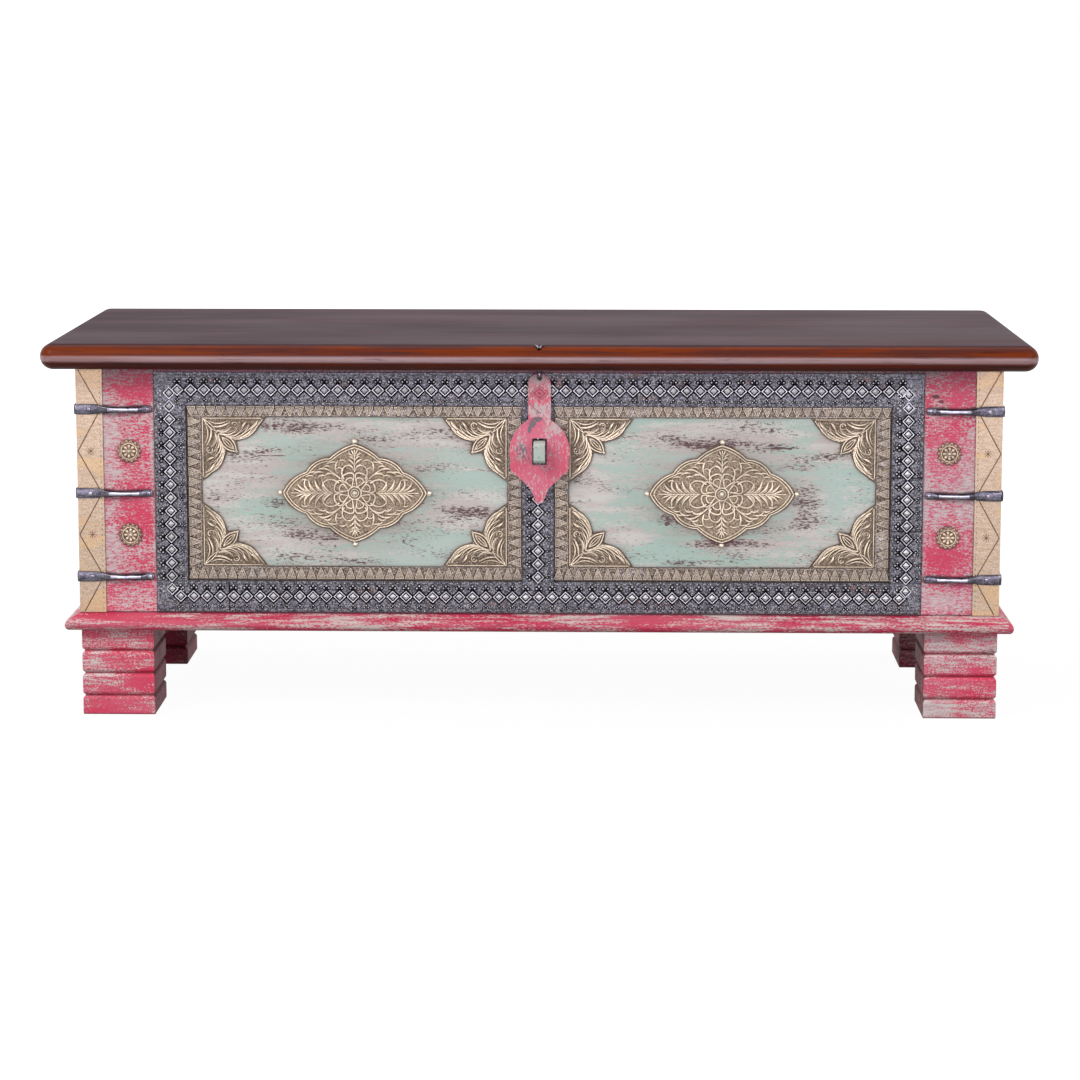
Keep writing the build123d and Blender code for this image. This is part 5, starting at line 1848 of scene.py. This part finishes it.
@dataclass
class Lock:
    """The hasp on its split pin, and the staple that it closes over."""

    x: float = PIN_EYE[0]
    ring_radius: float = 4.6
    wire: float = 1.4
    tilt: float = PIN_TILT
    edge_y: float = -199.7
    edge_z: float = 440.7
    edge_round: float = LID_ROUND
    disc_z: float = -88.0
    neck: float = 13.6
    neck_rise: float = 4.4
    slot_half: tuple = (9.0, 18.0)
    shoulders: tuple = (-46.0, -10.0)
    shoulder_swell: float = 0.24
    hole_below: float = 6.2
    diamond_below: float = 24.0
    diamond: tuple = ((9.6, 0), (0, 7.4), (-9.6, 0), (0, -7.4))
    pin_bend: tuple = ((2, 1.1), (7, 1.9), (14, 3.4), (21, 6.0))
    pin_radii: tuple = (1.1, 1.2, 1.3, 1.3, 1.15, 0.7)

    def fuller(self, bm: BMesh, hole_z: float) -> None:
        """Fill out the disc of the hasp: a little higher at the neck and wider at the shoulders of its tip.

        Args:
            bm: The hasp's mesh, in place.
            hole_z: Level of the hole that it hangs by.
        """
        for vert in bm.verts:
            across, up = vert.co.x - self.x, vert.co.z - hole_z - self.disc_z
            if abs(across) < self.slot_half[0] and abs(up) < self.slot_half[1]:
                continue
            if 4 < up < 34 and abs(across) > self.neck - 0.2:
                vert.co.z += self.neck_rise * (up / 33.4) ** 2
            low, high = self.shoulders
            if low < up < high:
                share = math.sin(math.pi * (high - up) / (high - low)) ** 1.5
                vert.co.x += across * self.shoulder_swell * share

    def hasp(self) -> None:
        """The painted hasp, with its stamped diamond and its scratches."""
        bm = cad_copy("hasp")
        low, high = corners("hasp")
        self.fuller(bm, high.z - self.hole_below)
        soften(bm, sharp(bm, 40), 0.55)
        level = high.z - self.diamond_below
        inner = [(x * 0.45, z * 0.45) for x, z in self.diamond]
        outlines = [along(list(shape), 0.7, True) for shape in (self.diamond, inner)]
        sides = [list(pair) for run in outlines for pair in zip(run, run[1:])]
        plate = bmesh.new()
        sheet_plate(plate, [(x * 1.22, z * 1.25) for x, z in self.diamond], -0.1, 0.12, 3)
        stamp(bm, unit_of(plate), front_at(self.x, low.y, level))
        stamp(bm, tinted(chased(sides, 0.6), 1), front_at(self.x, low.y - 0.1, level))
        scratches = [Bow(-11, -12, 2, -24, -0.06, 0.4, Taper.LINE)]
        for index in range(9):
            x, z = -25 + 1.9 * index, -58 - 5.5 * (index % 3) - index
            scratches.append(Bow(x, z, x + 5.5, z - 12, 0.04, 0.42, Taper.LEAF, 3))
        for index in range(3):
            x, z = 13 + 4 * index, -48 - 7 * index
            scratches.append(Bow(x, z, x + 1, z - 12, 0.03, 0.35))
        stamp(bm, tinted(chased([run.points() for run in scratches], 0.25), 2), front_at(self.x, low.y, level))
        settle(bm, "painted_hasp", Body.HASP, [HASP_PAINT, HASP_LINE, HASP_SCRATCH, HASP_DEEP], ("hasp",),
               40, even=True)

    def staple(self) -> None:
        """The painted staple, with its edges rounded."""
        bm = cad_copy("staple")
        soften(bm, sharp(bm, 40, 6, True), 0.6)
        settle(bm, "painted_staple", Body.CARCASE, [STAPLE_PAINT], ("staple",), 40, even=True)

    def pin_axes(self) -> tuple[Vector, Vector, Vector]:
        """The middle of the eye, the direction of the shank, and the direction out of its side."""
        sine, cosine = math.sin(math.radians(self.tilt)), math.cos(math.radians(self.tilt))
        return Vector(PIN_EYE), Vector((0, -sine, cosine)), Vector((0, -cosine, -sine))

    def on_edge(self, turn: float, across: float) -> Vector:
        """A point just above the round edge of the lid.

        Args:
            turn: How far back from where the pin leaves the edge, in degrees.
            across: Distance along the chest from the pin.

        Returns:
            The point.
        """
        start, up, _ = self.pin_axes()
        middle = Vector((self.x, self.edge_y, self.edge_z))
        back = (start - middle).dot(up)
        reach = math.sqrt(max(0, back ** 2 - (start - middle).length_squared + self.edge_round ** 2)) - back
        leaving = start + up * reach
        angle = math.atan2(middle.y - leaving.y, leaving.z - middle.z) - math.radians(turn)
        away = self.edge_round + 0.9
        return Vector((self.x + across, middle.y - away * math.sin(angle), middle.z + away * math.cos(angle)))

    def split_pin(self) -> None:
        """The pin's eye, shank and two legs bent over the edge, as one bent wire."""
        start, up, out = self.pin_axes()
        eye = [start + self.ring_radius * (up * x + out * y) for x, y in circle(1, 24)]
        runs = [[(*spot, self.wire) for spot in eye]]
        for side in (-1, 1):
            spots = [start + up * (self.ring_radius - 0.4) + Vector((side * 0.9, 0, 0)),
                     start + up * 20 + Vector((side, 0, 0))]
            spots += [self.on_edge(turn, side * away) for turn, away in self.pin_bend]
            runs.append([(*spot, radius) for spot, radius in zip(spots, self.pin_radii)])
        bm = bmesh.new()
        bm.from_mesh(tubes(runs, 1, 3, closed=1))
        settle(bm, "bent_split_pin", Body.LID, [IRON], ("split_pin",), 50)

    def build(self) -> None:
        """Build the hasp, staple and split pin."""
        self.hasp()
        self.staple()
        self.split_pin()


@dataclass
class Hinges:
    """The two back hinges and the screws, dressed in rubbed iron."""

    leaves: tuple = (("hinge_body_leaves", Body.CARCASE), ("hinge_lid_leaves", Body.LID))
    fasteners: tuple = (
        ("hinge_pins", Body.CARCASE), ("hinge_body_screws", Body.CARCASE),
        ("hinge_lid_screws", Body.LID), ("lid_cleat_screws", Body.LID),
    )

    def dress(self, node: str, body: Body, edges: tuple, offset: float, smooth: float) -> None:
        """Turn a copy of one CAD node into iron with rounded edges; the plain pins keep theirs.

        Args:
            node: The CAD node.
            body: The body that it moves with.
            edges: Least angle and length of the edges to round.
            offset: Width of the rounding.
            smooth: Edges sharper than this many degrees stay crisp.
        """
        bm = cad_copy(node)
        if node != "hinge_pins":
            soften(bm, sharp(bm, *edges), offset)
        settle(bm, f"worn_{node}", body, [IRON], (node,), smooth)

    def build(self) -> None:
        """Round the edges of the leaves and smooth the screws."""
        for node, body in self.leaves:
            self.dress(node, body, (50, 12), 0.5, 40)
        for node, body in self.fasteners:
            self.dress(node, body, (20, 1.5), 0.4, 50)


# ----- Studio -----


@dataclass
class Studio:
    """A pale floor, soft lamps and the camera."""

    camera_place: tuple = (0.0711, -3.4629, 0.8367)
    pitch: float = 0.1361
    yaw: float = 0.0209
    lens: float = 92.82
    shift: float = -0.1296
    surround: float = 0.45
    floor_half: float = 40.0
    floor_tone: float = 0.2
    floor_glow: float = 1.34
    floor_fade: tuple = (0.75, 1.9, 0.72, 1.0)

    def camera(self) -> None:
        """Set up the camera in front and a little above."""
        data = bpy.data.cameras.new("camera")
        data.lens = self.lens
        data.sensor_width = 36
        data.shift_y = self.shift
        data.clip_end = 50
        camera = in_scene("camera", data)
        camera.location = self.camera_place
        camera.rotation_euler = (math.pi / 2 - self.pitch, 0, self.yaw)
        bpy.context.scene.camera = camera

    def lamp(self, name: str, place: tuple, target: tuple, size: tuple, power: float, colour: Colour,
             matt: bool = True) -> None:
        """Add one soft rectangular lamp.

        Args:
            name: Its name.
            place: Where it stands.
            target: Where it points.
            size: Width and height.
            power: Power in watts.
            colour: Its colour.
            matt: Whether it also lights matt surfaces, or only shows as a highlight.
        """
        data = bpy.data.lights.new(name, "AREA")
        data.shape = "RECTANGLE"
        data.size, data.size_y = size
        data.energy = power
        data.color = linear(colour)[:3]
        lamp = in_scene(name, data)
        lamp.location = place
        lamp.visible_diffuse = matt
        lamp.rotation_euler = (Vector(target) - Vector(place)).to_track_quat("-Z", "Y").to_euler()

    def seen(self, tree: Tree) -> NodeSocket:
        """1 for rays from the camera, in reflections and through glass, 0 for light that falls on things."""
        path = tree.add("LightPath", {})
        either = path.outputs["Is Camera Ray"]
        for kind in ("Is Glossy Ray", "Is Transmission Ray"):
            either = tree.add("Math", {0: either, 1: path.outputs[kind]}, operation="MAXIMUM").outputs[0]
        return either

    def floor(self) -> None:
        """Lay the pale floor, which keeps the chest's shadow and turns white further out."""
        bm = bmesh.new()
        bmesh.ops.create_grid(bm, x_segments=1, y_segments=1, size=self.floor_half)
        floor = in_scene("floor", unit_of(bm, "floor"))
        mixer = Recipe("pale floor")
        mixer.nodes.remove(mixer.shader)
        matt = mixer.add("BsdfDiffuse", {"Color": (self.floor_tone, self.floor_tone, self.floor_tone, 1)})
        glow = mixer.add("Emission", {"Strength": self.floor_glow})
        share = mixer.times(self.seen(mixer), mixer.step(mixer.length(mixer.place), *self.floor_fade))
        both = mixer.add("MixShader", {0: share, 1: matt.outputs[0], 2: glow.outputs[0]})
        mixer.feed(mixer.nodes["Material Output"], {"Surface": both.outputs[0]})
        floor.data.materials.append(mixer.material)

    def world(self) -> None:
        """A white surround for the camera and reflections, softer for light."""
        world = bpy.data.worlds.new("surround")
        bpy.context.scene.world = world
        tree = Tree(world)
        tree.nodes.clear()
        soft, white = (
            tree.add("Background", {"Color": (1, 1, 1, 1), "Strength": strength}).outputs[0]
            for strength in (self.surround, 1.0)
        )
        both = tree.add("MixShader", {0: self.seen(tree), 1: soft, 2: white})
        tree.add("OutputWorld", {"Surface": both.outputs[0]})

    def build(self) -> None:
        """Set up the floor, lamps, surround and camera."""
        self.world()
        self.floor()
        self.camera()
        self.lamp("key", (-2.2, -2.6, 2.8), (0, 0, 0.25), (1.8, 1.2), 66, (255, 250, 246))
        self.lamp("fill", (2.8, -2.4, 1.6), (0, 0, 0.25), (1.4, 1.4), 25, (246, 248, 255))
        self.lamp("strip", (0.0, -3.4, 0.62), (0, -0.2, 0.44), (3.6, 0.9), 110, (246, 236, 255), False)
        self.lamp("top", (0.0, 0.6, 2.6), (0, 0, 0.3), (3.0, 1.4), 16, (255, 255, 255))
        bpy.context.scene.view_settings.view_transform = "Standard"


def main() -> None:
    """Build the chest around its frame, piece by piece, and set up the studio."""
    logging.basicConfig(level=logging.INFO, format="%(message)s")
    Studio().build()
    feet = tuple(f"foot_{end}_{side.label}" for end in ("front", "back") for side in Side)
    mouldings = tuple(f"base_moulding_{side}" for side in ("front", "back", "left", "right"))
    rails = ("frame_top_rail", "frame_bottom_rail", "frame_stile_left", "frame_stile_right", "frame_muntin")
    posts = ("corner_posts_front", "corner_posts_back")
    parts = (
        # The feet's faces that look inwards get painted shade.
        WornBoards(feet, PINK_FOOT, "pink_paint", rounding=1.4, inside=FOOT_SHADE),
        WornBoards(mouldings[:2], PINK_BASE, "pink_paint", rounding=0.8),
        WornBoards(mouldings[2:], PINK_BASE_END, "pink_paint", rounding=0.8),
        WornBoards(("pilaster_left", "pilaster_right"), PINK, "pink_paint"),
        # The rails take pink with painted light and shade for the strip under the lid, and dark painted shade on their
        # faces inside the windows.
        WornBoards(rails, PINK_SHADED, "pink_paint", rounding=0.4, reveal=REVEAL_SHADE),
        WornBoards(("panel_left",), MINT_LEFT, "mint_paint", rounding=0.3),
        WornBoards(("panel_right",), MINT_RIGHT, "mint_paint", rounding=0.3),
        WornBoards(("back_board",), PINK_BOARD, "pink_paint", inside=RAW_WOOD),
        WornBoards(("end_board_left", "end_board_right"), PINK_END, "pink_paint", inside=RAW_WOOD_DEEP),
        WornBoards(("bottom_board", "front_board", "base_cross_rail"), RAW_WOOD, "raw_wood"),
        WornBoards(posts, RAW_WOOD_UPRIGHT, "raw_wood"),
        Lid(), EmbossedBands(), BrassBorders(), Spandrels(), Medallions(), CornerStrips(), Straps(), Rosettes(),
        Lock(), Hinges(),
    )
    for part in parts:
        part.build()


if __name__ == "__main__":
    main()
